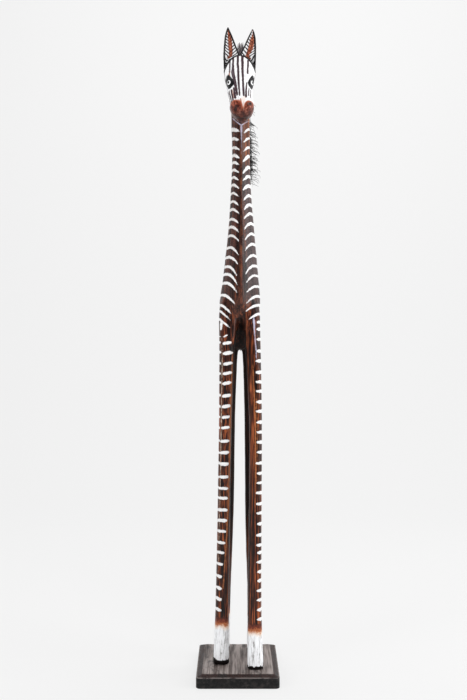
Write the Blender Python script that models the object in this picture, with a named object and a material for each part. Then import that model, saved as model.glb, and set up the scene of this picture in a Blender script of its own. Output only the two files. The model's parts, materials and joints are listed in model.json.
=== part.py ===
"""A tall carved wooden zebra on a chamfered plinth.

The figure is one carved piece from the hooves to the top of the neck. The head, the two
ears, the tufts of hair, the dowel, the ear pins and the screws are separate pieces.
Metres, +Z up. The zebra faces -Y, so its own left is +X. The origin is at the middle of
the plinth's underside.
"""

import math

import bmesh
import bpy
from mathutils import Vector

MM = 0.001
GLUE_GAP = 0.3 * MM
WELD = 0.01 * MM
BODY_CREASE = 35

# Plinth
PLINTH_WIDTH = 124 * MM
PLINTH_DEPTH = 165 * MM
PLINTH_THICKNESS = 19.5 * MM
CHAMFER_WIDTH = 10 * MM
CHAMFER_DROP = 3.7 * MM
PLINTH_CORNER_RADIUS = 6 * MM
PLINTH_CORNER_STEPS = 5
PLINTH_FOOT_EASE = 0.8 * MM

# Carved body: where the levels are
FIGURE_X = 4.2 * MM
LEG_LENGTH = 481.5 * MM
SHOULDER_RISE = 61 * MM
NECK_LENGTH = 343 * MM
FOOT_Z = PLINTH_THICKNESS + GLUE_GAP
BELLY_Z = FOOT_Z + LEG_LENGTH
SHOULDER_Z = BELLY_Z + SHOULDER_RISE
NECK_TOP_Z = SHOULDER_Z + NECK_LENGTH

# Legs
LEG_WIDTH = 20 * MM
LEG_DEPTH = 24 * MM
LEG_SQUARENESS = 3.0
LEG_SIDES = 16
LEG_RINGS = 20
LEG_RING_SPREAD = 1.2
# Level (0 hoof, 1 belly, 2 shoulder), then the middle of the leg in x and y
LEG_PATHS = {
    "front_left": (
        (0, 26.6, -46),
        (0.2, 25.5, -46),
        (0.53, 26.6, -46),
        (0.8, 26.8, -46),
        (1.0, 23.4, -45),
        (1.5, 20.0, -42),
        (2.0, 18.6, -38),
        (2.6, 14, -33),
    ),
    "front_right": (
        (0, -25.4, -22),
        (0.2, -23.5, -24),
        (0.53, -20.8, -29),
        (0.8, -18.6, -35),
        (1.0, -16.4, -39),
        (1.5, -14.4, -40),
        (2.0, -13.2, -37),
        (2.6, -7, -33),
    ),
    "hind_left": (
        (0, 26.8, 40),
        (0.25, 26.0, 44),
        (0.34, 24.6, 47),
        (0.5, 23.2, 45),
        (0.8, 22.0, 40),
        (1.0, 20.6, 38),
        (1.5, 18.4, 38),
        (2.0, 13, 36),
    ),
    "hind_right": (
        (0, -24.4, 42),
        (0.2, -21.4, 44),
        (0.34, -19.2, 47),
        (0.5, -16.6, 45),
        (0.8, -14.6, 40),
        (1.0, -12.4, 38),
        (1.5, -10.2, 38),
        (2.0, -5, 36),
    ),
}
# Level, then width and depth as multiples
FRONT_LEG_PROFILE = (
    (0, 1.25, 1.06),
    (0.05, 1.20, 1.03),
    (0.12, 1.10, 0.98),
    (0.30, 1.02, 0.97),
    (0.80, 1.00, 1.02),
    (1.0, 1.20, 1.12),
    (1.5, 1.45, 1.24),
    (2.0, 1.50, 1.24),
    (2.6, 1.05, 0.9),
)
HIND_LEG_PROFILE = (
    (0, 1.20, 1.04),
    (0.05, 1.15, 1.0),
    (0.14, 1.08, 0.94),
    (0.28, 1.08, 0.97),
    (0.34, 1.16, 1.12),
    (0.42, 1.12, 1.02),
    (0.80, 1.12, 1.15),
    (0.96, 1.22, 1.50),
    (1.2, 1.50, 1.95),
    (1.6, 1.66, 2.05),
    (2.0, 1.2, 1.35),
)

# Trunk: a barrel from the chest to the rump
CHEST_Y = -44 * MM
RUMP_Y = 64 * MM
BARREL_WIDTH = 60 * MM
BARREL_HEIGHT = 96 * MM
BARREL_SIDES = 20
BARREL_RINGS = 13
BARREL_ROUNDNESS = 2.2
BARREL_MIDDLE = 0.485
# Share of the way from chest to rump, then width, height and lift as shares
BARREL_PROFILE = (
    (0, 0.40, 0.30, 0.22),
    (0.10, 0.66, 0.58, 0.15),
    (0.34, 0.98, 0.97, 0.01),
    (0.58, 0.98, 0.97, 0),
    (0.82, 0.93, 0.93, 0.01),
    (0.95, 0.68, 0.70, 0.03),
    (1.0, 0.30, 0.36, 0.04),
)

# Neck and chest: one tapering column with a ridge down its front
NECK_WIDTH = 27.6 * MM
NECK_DEPTH = 33 * MM
CHEST_WIDTH = 63.2 * MM
CHEST_DEPTH = 75 * MM
CHEST_FRONT_Y = -66 * MM
NECK_FRONT_Y = -58 * MM
CHEST_FOOT = -13 * MM
NECK_SIDES = 20
NECK_RINGS = 20
NECK_RING_SPREAD = 1.25
RIDGE_SHARPNESS = 1.35
NAPE_ROUNDNESS = 2.2
# Share of the neck's length above the shoulder, then how much chest is left in its width,
# its depth and its front line, and how far it bows aside
NECK_PROFILE = (
    (-0.04, 0.45, 0.45, -1.0, -1.0 * MM),
    (0, 1.0, 0.93, 0.35, -1.3 * MM),
    (0.07, 0.94, 0.98, 0.92, -0.2 * MM),
    (0.15, 0.74, 0.82, 1.0, 0.4 * MM),
    (0.27, 0.50, 0.56, 0.65, 1.0 * MM),
    (0.39, 0.28, 0.32, 0.30, 1.2 * MM),
    (0.52, 0.11, 0.14, 0.08, 0.6 * MM),
    (0.68, -0.01, 0.02, 0.0, 0.8 * MM),
    (0.82, 0.02, 0.0, 0.0, 0),
    (1.0, 0.02, 0.0, 0.0, -0.6 * MM),
)

# Head
HEAD_X = 2.9 * MM
MUZZLE_TURN = 3.1 * MM
HEAD_WIDTH = 49.4 * MM
MUZZLE_WIDTH = 35.6 * MM
HEAD_SIDES = 24
FACE_SQUARENESS = 3.0
NAPE_SQUARENESS = 1.7
CROWN_RISE = 35.5 * MM
CROWN_DROP = 23 * MM
CROWN_STEPS = 12
CROWN_OVERHANG = 0.75
HEAD_CREASE = 28
CHIN_DROP = 71 * MM
FACE_REACH = 55 * MM
# Height as a share of the chin's drop or the crown's rise, how far the face reaches in front
# of the neck, how far the head goes back behind the neck's front, the muzzle's and the brow's
# share in its half width, and how much it turns aside
HEAD_PROFILE = (
    (-1.0, 0.70, -0.52, 0.26, 0, 1.0),
    (-0.96, 0.82, -0.42, 0.50, 0, 1.0),
    (-0.87, 0.93, -0.30, 0.78, 0, 1.0),
    (-0.75, 0.99, -0.20, 0.95, 0, 1.0),
    (-0.62, 1.0, -0.12, 0.99, 0, 0.85),
    (-0.46, 0.93, -0.06, 0.94, 0.07, 0.15),
    (-0.30, 0.82, 0.06, 0.66, 0.31, 0),
    (-0.12, 0.70, 0.32, 0.30, 0.66, 0),
    (0, 0.61, 0.52, 0.12, 0.83, 0),
    (0.28, 0.46, 0.62, 0, 0.97, 0),
    (0.58, 0.34, 0.62, 0, 1.0, 0),
    (0.86, 0.22, 0.56, 0, 0.98, 0),
    (1.06, 0.14, 0.46, 0, 0.94, 0),
)

# Ears: each one's side, height and lean outwards
EAR_Y = -63 * MM
EARS = {
    "right": (-1, 44.5 * MM, 5.2 * MM),
    "left": (1, 41.8 * MM, 7.0 * MM),
}
EAR_LEAN_BACK = 9 * MM
EAR_WIDTH = 24.4 * MM
EAR_OFFSET = 12.5 * MM
EAR_HOLLOW = 6.5 * MM
EAR_WALL_BASE = 6 * MM
EAR_WALL_TIP = 1.6 * MM
EAR_RIM = 1.5 * MM
EAR_RIM_LIMIT = 0.45
EAR_RIM_FORWARD = 0.3
EAR_ARC_POINTS = 9
EAR_RINGS = 14
# Share of the ear's height, then its width and its lean outwards as shares
EAR_PROFILE = (
    (-0.55, 0.96, -0.06),
    (0, 1.0, 0),
    (0.13, 0.94, 0.10),
    (0.31, 0.79, 0.38),
    (0.50, 0.64, 0.60),
    (0.68, 0.49, 0.80),
    (0.87, 0.26, 0.94),
    (1.0, 0.07, 1.0),
)

# Pins, dowel and screws
DOWEL_RADIUS = 4 * MM
DOWEL_IN_NECK = 30 * MM
DOWEL_IN_HEAD = 26 * MM
PIN_RADIUS = 1.2 * MM
PIN_IN_HEAD = 10 * MM
PIN_IN_EAR = 7 * MM
PIN_SIDES = 10
SCREW_LENGTH = 45 * MM
SCREW_RADIUS = 2 * MM
SCREW_HEAD_RADIUS = 4.2 * MM
SCREW_HEAD_HEIGHT = 2.6 * MM
SCREW_POINT = 5 * MM
SCREW_RECESS = 1.2 * MM
PILOT_SPARE = 1 * MM
SCREW_SLOT_WIDTH = 1.0 * MM
SCREW_SLOT_DEPTH = 1.2 * MM
ROUND_SIDES = 16

# Hair
MANE_TUFTS = 7
MANE_TOP = 0.94
MANE_BOTTOM = 0.60
MANE_RADIUS = 3.4 * MM
MANE_DROP = 21 * MM
MANE_REACH = 19.5 * MM
ROOT_RADIUS = 1.7 * MM
ROOT_DEPTH = 5 * MM
FORELOCK_HEIGHT = 27 * MM
FORELOCK_RADIUS = 4.8 * MM
FORELOCK_Y = -40 * MM
TAIL_LEVEL = 0.62
TAIL_LENGTH = 62 * MM
TAIL_RADIUS = 5 * MM
TAIL_OUT = 9 * MM
HAIR_STEPS = 10
ROOT_SIDES = 10
# Along a mane tuft: share of its reach, distance behind the neck in tuft radii, share of its
# drop, and radius as a share of the tuft's
MANE_PATH = (
    (0.08, 1.5, 0.05, 0.6),
    (0.42, 2.0, 0.28, 0.85),
    (0.80, 1.6, 0.64, 1.0),
    (1.0, 1.2, 1.0, 0.35),
)
# Up the forelock: share of its height, and radius as a share of its own
FORELOCK_PATH = (
    (0.5, 1.0),
    (0.85, 0.8),
    (1.0, 0.3),
)
FORELOCK_THROAT = 0.10
# Down the tail: shares of its reach outwards and of its length, and radius as a share of its own
TAIL_PATH = (
    (0.55, 0.02, 0.374),
    (1.0, 0.25, 0.7),
    (1.0, 0.75, 1.0),
    (0.9, 1.0, 0.3),
)


# ---------------------------------------------------------------- helpers


def clear_scene():
    for obj in list(bpy.data.objects):
        bpy.data.objects.remove(obj)


def make_material(name, colour, roughness, metallic=0.0):
    material = bpy.data.materials.new(name)
    material.use_nodes = True
    shader = material.node_tree.nodes["Principled BSDF"]
    shader.inputs["Base Color"].default_value = (*colour, 1)
    shader.inputs["Roughness"].default_value = roughness
    shader.inputs["Metallic"].default_value = metallic
    return material


def smooth_through(rows, at):
    """Reads a table at a place: a smooth curve through each column of its rows."""
    at = min(max(at, rows[0][0]), rows[-1][0])
    i = max(k for k in range(len(rows) - 1) if rows[k][0] <= at)
    before, low, high = rows[max(i - 1, 0)], rows[i], rows[i + 1]
    after = rows[min(i + 2, len(rows) - 1)]
    span = high[0] - low[0]
    t = (at - low[0]) / span
    values = []
    for column in range(1, len(low)):
        slope_low = (high[column] - before[column]) / (high[0] - before[0]) * span
        slope_high = (after[column] - low[column]) / (after[0] - low[0]) * span
        step = high[column] - low[column]
        bend = slope_low * t * (1 - t) ** 2 - slope_high * t * t * (1 - t)
        values.append(low[column] + step * t * t * (3 - 2 * t) + bend)
    return values


def rounded(angle, roundness):
    """A point of a superellipse of half axes 1: 1 is a diamond, 2 a circle, 4 nearly square."""
    c, s = math.cos(angle), math.sin(angle)
    power = 2 / roundness
    return (
        math.copysign(abs(c) ** power, c),
        math.copysign(abs(s) ** power, s),
    )


def flat_ring(centre, half_x, half_y, sides, front, back):
    """A level ring, with its own roundness in front (-Y) and behind."""
    points = []
    for k in range(sides):
        angle = 2 * math.pi * k / sides
        x, y = rounded(angle, front if math.sin(angle) < 0 else back)
        points.append(centre + Vector((half_x * x, half_y * y, 0)))
    return points


def loft(rings):
    """A closed mesh through rings of equally many points."""
    bm = bmesh.new()
    loops = []
    for ring in rings:
        verts = [bm.verts.new(p) for p in ring]
        loops.append([bm.edges.new((a, b)) for a, b in zip(verts, verts[1:] + verts[:1])])
    for lower, upper in zip(loops, loops[1:]):
        bmesh.ops.bridge_loops(bm, edges=lower + upper)
    for loop in (loops[0], loops[-1]):
        bmesh.ops.contextual_create(bm, geom=loop)
    bmesh.ops.recalc_face_normals(bm, faces=bm.faces)
    return bm


def cylinder(bottom, top, radius, sides=ROUND_SIDES):
    """A closed cylinder between two points."""
    bm = bmesh.new()
    axis = top - bottom
    bmesh.ops.create_cone(
        bm, cap_ends=True, segments=sides, radius1=radius, radius2=radius, depth=axis.length
    )
    bmesh.ops.rotate(bm, matrix=axis.to_track_quat("Z", "Y").to_matrix(), verts=bm.verts)
    bmesh.ops.translate(bm, vec=(bottom + top) / 2, verts=bm.verts)
    return bm


def add_object(name, bm, material=None, crease=BODY_CREASE):
    mesh = bpy.data.meshes.new(name)
    bm.to_mesh(mesh)
    bm.free()
    mesh.shade_smooth()
    mesh.set_sharp_from_angle(angle=math.radians(crease))
    obj = bpy.data.objects.new(name, mesh)
    bpy.context.scene.collection.objects.link(obj)
    if material:
        mesh.materials.append(material)
    return obj


def add_helper(name, bm):
    """A cutter or a piece to be joined: it is not part of the finished object."""
    obj = add_object(name, bm)
    obj.hide_render = True
    obj.display_type = "WIRE"
    return obj


def combine(obj, helper, operation):
    modifier = obj.modifiers.new(helper.name, "BOOLEAN")
    modifier.operation = operation
    modifier.object = helper
    modifier.solver = "EXACT"


# ---------------------------------------------------------------- plinth


def plinth_outline(inset, z):
    """The plinth's rounded rectangle, drawn in by an inset."""
    radius = max(PLINTH_CORNER_RADIUS - inset / 3, PLINTH_CORNER_RADIUS / 3)
    reach_x = PLINTH_WIDTH / 2 - inset - radius
    reach_y = PLINTH_DEPTH / 2 - inset - radius
    points = []
    for corner, (sx, sy) in enumerate(((1, 1), (-1, 1), (-1, -1), (1, -1))):
        for step in range(PLINTH_CORNER_STEPS + 1):
            angle = math.pi / 2 * (corner + step / PLINTH_CORNER_STEPS)
            x = sx * reach_x + radius * math.cos(angle)
            y = sy * reach_y + radius * math.sin(angle)
            points.append(Vector((x, y, z)))
    return points


def make_plinth(material):
    rings = [
        plinth_outline(PLINTH_FOOT_EASE, 0),
        plinth_outline(0, PLINTH_FOOT_EASE),
        plinth_outline(0, PLINTH_THICKNESS - CHAMFER_DROP),
        plinth_outline(CHAMFER_WIDTH, PLINTH_THICKNESS),
    ]
    plinth = add_object("plinth", loft(rings), material)
    for name, foot in screw_places():
        combine(plinth, add_helper("plinth_hole_" + name, screw_body(foot, GLUE_GAP)), "DIFFERENCE")
    return plinth


# ---------------------------------------------------------------- screws


def screw_places():
    return [(name, Vector((path[0][1] * MM, path[0][2] * MM, 0))) for name, path in LEG_PATHS.items()]


def screw_body(foot, clearance):
    """A countersunk screw standing point up, or the hole for it when there is clearance."""
    hole = clearance > 0
    head_z = 0 if hole else SCREW_RECESS
    neck_z = SCREW_RECESS + SCREW_HEAD_HEIGHT + clearance
    tip_z = SCREW_RECESS + SCREW_LENGTH + (PILOT_SPARE if hole else 0)
    head = SCREW_HEAD_RADIUS + clearance
    shank = SCREW_RADIUS + clearance
    profile = [(0, head_z - (MM if hole else 0)), (head, head_z - (MM if hole else 0))]
    if hole:
        profile.append((head, SCREW_RECESS))
    profile += [(shank, neck_z), (shank, tip_z - SCREW_POINT), (0, tip_z)]
    bm = bmesh.new()
    verts = [bm.verts.new((r, 0, z)) for r, z in profile]
    edges = [bm.edges.new(pair) for pair in zip(verts, verts[1:])]
    bmesh.ops.spin(
        bm, geom=verts + edges, axis=(0, 0, 1), angle=2 * math.pi, steps=ROUND_SIDES, use_merge=True
    )
    bmesh.ops.remove_doubles(bm, verts=bm.verts, dist=WELD)
    bmesh.ops.recalc_face_normals(bm, faces=bm.faces)
    bmesh.ops.translate(bm, vec=foot, verts=bm.verts)
    return bm


def make_screws(material):
    for name, foot in screw_places():
        screw = add_object("leg_screw_" + name, screw_body(foot, 0), material)
        slot = bmesh.new()
        bmesh.ops.create_cube(slot, size=1)
        size = (3 * SCREW_HEAD_RADIUS, SCREW_SLOT_WIDTH, 2 * SCREW_SLOT_DEPTH)
        bmesh.ops.scale(slot, vec=size, verts=slot.verts)
        bmesh.ops.translate(slot, vec=foot + Vector((0, 0, SCREW_RECESS)), verts=slot.verts)
        combine(screw, add_helper("slot_" + name, slot), "DIFFERENCE")


# ---------------------------------------------------------------- carved body


def leg_height(level):
    """Levels 0 to 1 run up the leg and 1 to 2 run on into the trunk."""
    if level <= 1:
        return FOOT_Z + level * LEG_LENGTH
    return BELLY_Z + (level - 1) * SHOULDER_RISE


def leg_rings(path, profile):
    top = path[-1][0]
    rings = []
    for k in range(LEG_RINGS):
        level = top * (k / (LEG_RINGS - 1)) ** LEG_RING_SPREAD
        x, y = smooth_through(path, level)
        wide, deep = smooth_through(profile, level)
        centre = Vector((x * MM, y * MM, leg_height(level)))
        half_x, half_y = LEG_WIDTH / 2 * wide, LEG_DEPTH / 2 * deep
        rings.append(flat_ring(centre, half_x, half_y, LEG_SIDES, LEG_SQUARENESS, LEG_SQUARENESS))
    return rings


def barrel_rings():
    rings = []
    for k in range(BARREL_RINGS):
        share = 0.5 - 0.5 * math.cos(math.pi * k / (BARREL_RINGS - 1))
        wide, high, lift = smooth_through(BARREL_PROFILE, share)
        y = CHEST_Y + share * (RUMP_Y - CHEST_Y)
        middle = BELLY_Z + BARREL_HEIGHT * (BARREL_MIDDLE + lift)
        ring = []
        for side in range(BARREL_SIDES):
            x, z = rounded(2 * math.pi * side / BARREL_SIDES, BARREL_ROUNDNESS)
            place = (FIGURE_X + x * BARREL_WIDTH / 2 * wide, y, middle + z * BARREL_HEIGHT / 2 * high)
            ring.append(Vector(place))
        rings.append(ring)
    return rings


def neck_section(share):
    """Centre, half width and half depth of the neck at a share of its length."""
    wide, deep, forward, bow = smooth_through(NECK_PROFILE, share)
    half_width = (NECK_WIDTH + wide * (CHEST_WIDTH - NECK_WIDTH)) / 2
    half_depth = (NECK_DEPTH + deep * (CHEST_DEPTH - NECK_DEPTH)) / 2
    front = NECK_FRONT_Y + forward * (CHEST_FRONT_Y - NECK_FRONT_Y)
    centre = Vector((FIGURE_X + bow, front + half_depth, SHOULDER_Z + share * NECK_LENGTH))
    return centre, half_width, half_depth


def neck_rings(grow=0.0, top=0.0):
    """The neck's rings from the foot of the chest to its top, or a larger copy to cut with."""
    foot = CHEST_FOOT / NECK_LENGTH
    rings = []
    for k in range(NECK_RINGS + 1):
        share = foot + (1 - foot) * (k / NECK_RINGS) ** NECK_RING_SPREAD
        centre, half_x, half_y = neck_section(share)
        if k == NECK_RINGS:
            centre.z += top
        ring = flat_ring(centre, half_x + grow, half_y + grow, NECK_SIDES, RIDGE_SHARPNESS, NAPE_ROUNDNESS)
        rings.append(ring)
    return rings


def neck_nape(share):
    """The point on the middle of the neck's back."""
    centre, _, half_depth = neck_section(share)
    return centre + Vector((0, half_depth, 0))


def dowel_axis():
    centre, _, _ = neck_section(1)
    return centre


def make_body(material):
    body = add_object("carved_body", loft(neck_rings()), material)
    combine(body, add_helper("barrel", loft(barrel_rings())), "UNION")
    for name, path in LEG_PATHS.items():
        profile = FRONT_LEG_PROFILE if name.startswith("front") else HIND_LEG_PROFILE
        combine(body, add_helper("leg_" + name, loft(leg_rings(path, profile))), "UNION")
    for name, foot in screw_places():
        combine(body, add_helper("pilot_hole_" + name, screw_body(foot, GLUE_GAP)), "DIFFERENCE")
    centre = dowel_axis()
    below = centre - Vector((0, 0, DOWEL_IN_NECK + GLUE_GAP))
    above = centre + Vector((0, 0, MM))
    combine(body, add_helper("neck_bore", cylinder(below, above, DOWEL_RADIUS + GLUE_GAP)), "DIFFERENCE")
    for number, root in enumerate(mane_roots(), 1):
        hole = root_hole(root, Vector((0, 1, 0)))
        combine(body, add_helper(f"mane_hole_{number}", hole), "DIFFERENCE")
    combine(body, add_helper("tail_hole", root_hole(tail_root(), Vector((0, 1, 0)))), "DIFFERENCE")
    return body


# ---------------------------------------------------------------- head and ears


def head_rings():
    rings = []
    for height, reach, behind, muzzle, brow, turn in HEAD_PROFILE:
        z = NECK_TOP_Z + height * (CHIN_DROP if height < 0 else CROWN_RISE)
        front = NECK_FRONT_Y - reach * FACE_REACH
        back = NECK_FRONT_Y + behind * FACE_REACH
        half_x = (muzzle * MUZZLE_WIDTH + brow * HEAD_WIDTH) / 2
        half_y = (back - front) / 2
        centre = Vector((HEAD_X + turn * MUZZLE_TURN, (front + back) / 2, z))
        rings.append(flat_ring(centre, half_x, half_y, HEAD_SIDES, FACE_SQUARENESS, NAPE_SQUARENESS))
    return rings


def crown_height(x):
    """The arch where the ears stand on the head."""
    return NECK_TOP_Z + CROWN_RISE - CROWN_DROP * (2 * (x - HEAD_X) / HEAD_WIDTH) ** 2


def crown_block(raised, upwards):
    """A block that ends at the crown's arch: everything above it, or everything below."""
    reach = CROWN_OVERHANG * HEAD_WIDTH
    far = 4 * CROWN_RISE if upwards else -4 * CHIN_DROP
    arch = [HEAD_X + reach * (2 * k / CROWN_STEPS - 1) for k in range(CROWN_STEPS + 1)]
    outline = [(x, crown_height(x) + raised) for x in arch]
    outline += [(arch[-1], NECK_TOP_Z + far), (arch[0], NECK_TOP_Z + far)]
    ends = (NECK_FRONT_Y - 2 * FACE_REACH, NECK_FRONT_Y + 2 * FACE_REACH)
    return loft([[Vector((x, y, z)) for x, z in outline] for y in ends])


def make_head(material):
    head = add_object("carved_head", loft(head_rings()), material, crease=HEAD_CREASE)
    combine(head, add_helper("above_crown", crown_block(0, True)), "DIFFERENCE")
    notch = loft(neck_rings(grow=GLUE_GAP, top=GLUE_GAP))
    combine(head, add_helper("neck_notch", notch), "DIFFERENCE")
    centre = dowel_axis()
    below = centre - Vector((0, 0, MM))
    above = centre + Vector((0, 0, DOWEL_IN_HEAD + GLUE_GAP))
    combine(head, add_helper("head_bore", cylinder(below, above, DOWEL_RADIUS + GLUE_GAP)), "DIFFERENCE")
    for name, (side, _, _) in EARS.items():
        combine(head, add_helper("head_pin_hole_" + name, pin_body(side, GLUE_GAP)), "DIFFERENCE")
    hole = root_hole(forelock_root(), Vector((0, 0, 1)))
    combine(head, add_helper("forelock_hole", hole), "DIFFERENCE")
    return head


def ear_ring(share, side, height, splay):
    """A crescent, hollow in front."""
    wide, lean = smooth_through(EAR_PROFILE, share)
    upwards = max(share, 0)
    half_width = EAR_WIDTH / 2 * wide
    wall = EAR_WALL_BASE + (EAR_WALL_TIP - EAR_WALL_BASE) * upwards
    rim = min(EAR_RIM, half_width * EAR_RIM_LIMIT)
    hollow = EAR_HOLLOW * wide
    middle = HEAD_X + side * (EAR_OFFSET + splay * lean)
    y = EAR_Y + EAR_LEAN_BACK * upwards
    z = NECK_TOP_Z + CROWN_RISE + share * height
    points = []
    for k in range(EAR_ARC_POINTS):
        angle = math.pi * k / (EAR_ARC_POINTS - 1)
        points.append((half_width * math.cos(angle), (hollow + wall) * math.sin(angle)))
    for k in range(EAR_ARC_POINTS):
        angle = math.pi * (1 - k / (EAR_ARC_POINTS - 1))
        deep = hollow * math.sin(angle) - rim * EAR_RIM_FORWARD
        points.append(((half_width - rim) * math.cos(angle), deep))
    return [Vector((middle + x, y + deep, z)) for x, deep in points]


def make_ear(name, material):
    side, height, splay = EARS[name]
    lowest = EAR_PROFILE[0][0]
    shares = [lowest + (1 - lowest) * k / (EAR_RINGS - 1) for k in range(EAR_RINGS)]
    bm = loft([ear_ring(share, side, height, splay) for share in shares])
    ear = add_object("ear_" + name, bm, material)
    combine(ear, add_helper("below_ear_" + name, crown_block(GLUE_GAP, False)), "DIFFERENCE")
    combine(ear, add_helper("ear_pin_hole_" + name, pin_body(side, GLUE_GAP)), "DIFFERENCE")
    return ear


def pin_body(side, clearance):
    """The bamboo pin that holds an ear on the crown, or the hole for it."""
    x = HEAD_X + side * EAR_OFFSET
    middle = Vector((x, EAR_Y + EAR_HOLLOW + EAR_WALL_BASE / 2, crown_height(x)))
    below = middle - Vector((0, 0, PIN_IN_HEAD + clearance))
    above = middle + Vector((0, 0, PIN_IN_EAR + clearance))
    return cylinder(below, above, PIN_RADIUS + clearance, PIN_SIDES)


# ---------------------------------------------------------------- hair


def mane_roots():
    step = (MANE_BOTTOM - MANE_TOP) / (MANE_TUFTS - 1)
    return [neck_nape(MANE_TOP + step * k) for k in range(MANE_TUFTS)]


def tail_root():
    return Vector((FIGURE_X, RUMP_Y, BELLY_Z + TAIL_LEVEL * BARREL_HEIGHT))


def forelock_root():
    return Vector((HEAD_X, FORELOCK_Y, crown_height(HEAD_X)))


def root_hole(root, out):
    inner = root - out * (ROOT_DEPTH + GLUE_GAP)
    return cylinder(inner, root + out * ROOT_DEPTH, ROOT_RADIUS + GLUE_GAP, ROOT_SIDES)


def add_tuft(name, points, radii, material):
    """A tuft of hair as one tapered bundle along a smooth curve through its points."""
    rows = [(k, *point, radius) for k, (point, radius) in enumerate(zip(points, radii))]
    curve = bpy.data.curves.new(name, "CURVE")
    curve.dimensions = "3D"
    curve.bevel_depth = 1.0
    curve.bevel_resolution = 2
    curve.use_fill_caps = True
    spline = curve.splines.new("POLY")
    spline.points.add(HAIR_STEPS)
    for k, point in enumerate(spline.points):
        x, y, z, radius = smooth_through(rows, k * (len(points) - 1) / HAIR_STEPS)
        point.co = (x, y, z, 1)
        point.radius = radius
    curve.materials.append(material)
    obj = bpy.data.objects.new(name, curve)
    bpy.context.scene.collection.objects.link(obj)
    return obj


def make_mane(material):
    for number, root in enumerate(mane_roots(), 1):
        points = [root + Vector((0, -ROOT_DEPTH, 0)), root + Vector((0, ROOT_RADIUS, 0))]
        radii = [ROOT_RADIUS, ROOT_RADIUS]
        for reach, behind, drop, thick in MANE_PATH:
            points.append(root + Vector((MANE_REACH * reach, MANE_RADIUS * behind, -MANE_DROP * drop)))
            radii.append(MANE_RADIUS * thick)
        add_tuft(f"mane_tuft_{number}", points, radii, material)


def make_forelock(material):
    root = forelock_root()
    throat = FORELOCK_HEIGHT * FORELOCK_THROAT
    points = [root + Vector((0, 0, -ROOT_DEPTH)), root + Vector((0, 0, throat))]
    radii = [ROOT_RADIUS, ROOT_RADIUS]
    for rise, thick in FORELOCK_PATH:
        points.append(root + Vector((0, 0, FORELOCK_HEIGHT * rise)))
        radii.append(FORELOCK_RADIUS * thick)
    add_tuft("forelock_tuft", points, radii, material)


def make_tail(material):
    root = tail_root()
    points = [root + Vector((0, -ROOT_DEPTH, 0)), root + Vector((0, ROOT_RADIUS, 0))]
    radii = [ROOT_RADIUS, ROOT_RADIUS]
    for out, down, thick in TAIL_PATH:
        points.append(root + Vector((0, TAIL_OUT * out, -TAIL_LENGTH * down)))
        radii.append(TAIL_RADIUS * thick)
    add_tuft("tail_tuft", points, radii, material)


# ---------------------------------------------------------------- assembly


def main():
    clear_scene()
    stained_wood = make_material("stained_wood", (0.10, 0.045, 0.03), 0.4)
    painted_head = make_material("painted_head", (0.75, 0.73, 0.70), 0.5)
    painted_ear = make_material("painted_ear", (0.70, 0.55, 0.48), 0.5)
    plinth_wood = make_material("plinth_wood", (0.09, 0.075, 0.07), 0.5)
    hair = make_material("hair", (0.03, 0.028, 0.027), 0.6)
    pale_wood = make_material("pale_wood", (0.55, 0.40, 0.25), 0.6)
    screw_steel = make_material("screw_steel", (0.55, 0.55, 0.56), 0.35, 1.0)

    make_plinth(plinth_wood)
    make_body(stained_wood)
    make_head(painted_head)
    for name, (side, _, _) in EARS.items():
        make_ear(name, painted_ear)
        add_object("ear_pin_" + name, pin_body(side, 0), pale_wood)
    centre = dowel_axis()
    dowel = cylinder(
        centre - Vector((0, 0, DOWEL_IN_NECK)), centre + Vector((0, 0, DOWEL_IN_HEAD)), DOWEL_RADIUS
    )
    add_object("neck_dowel", dowel, pale_wood)
    make_screws(screw_steel)
    make_mane(hair)
    make_forelock(hair)
    make_tail(hair)


main()
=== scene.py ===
import json
import math
import random

import bmesh
import bpy
import numpy as np
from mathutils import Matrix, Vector

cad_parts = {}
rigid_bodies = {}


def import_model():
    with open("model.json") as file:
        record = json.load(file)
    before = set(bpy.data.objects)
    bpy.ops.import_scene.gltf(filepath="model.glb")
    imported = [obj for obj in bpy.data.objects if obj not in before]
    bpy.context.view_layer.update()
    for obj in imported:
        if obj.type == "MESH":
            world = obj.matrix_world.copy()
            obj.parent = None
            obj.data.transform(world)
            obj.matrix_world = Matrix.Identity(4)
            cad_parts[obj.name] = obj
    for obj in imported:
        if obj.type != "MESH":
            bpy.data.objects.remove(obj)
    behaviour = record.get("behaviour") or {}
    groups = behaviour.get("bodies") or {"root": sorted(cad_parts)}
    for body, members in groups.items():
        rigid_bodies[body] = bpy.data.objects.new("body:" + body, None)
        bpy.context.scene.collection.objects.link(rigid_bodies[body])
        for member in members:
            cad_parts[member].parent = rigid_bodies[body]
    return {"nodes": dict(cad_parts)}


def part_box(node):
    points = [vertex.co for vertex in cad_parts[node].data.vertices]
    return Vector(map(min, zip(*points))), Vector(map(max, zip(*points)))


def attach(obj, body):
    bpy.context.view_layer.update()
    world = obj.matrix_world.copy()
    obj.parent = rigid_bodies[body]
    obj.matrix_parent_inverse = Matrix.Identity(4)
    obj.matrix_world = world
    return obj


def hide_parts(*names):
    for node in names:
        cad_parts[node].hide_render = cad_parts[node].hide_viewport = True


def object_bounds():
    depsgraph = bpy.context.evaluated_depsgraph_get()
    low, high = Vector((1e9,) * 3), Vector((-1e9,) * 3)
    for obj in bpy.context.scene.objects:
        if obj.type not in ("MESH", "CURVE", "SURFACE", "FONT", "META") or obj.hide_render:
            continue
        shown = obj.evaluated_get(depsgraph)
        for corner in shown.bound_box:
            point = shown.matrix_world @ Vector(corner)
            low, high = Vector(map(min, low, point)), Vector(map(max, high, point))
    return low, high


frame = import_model()
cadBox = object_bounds()
mm = 0.001
unpainted = -9.0  # a stroke's distance where there is none
print("frame loaded:", len(frame["nodes"]), "parts")


# Mesh helpers. Points are handled in millimetres.

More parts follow.
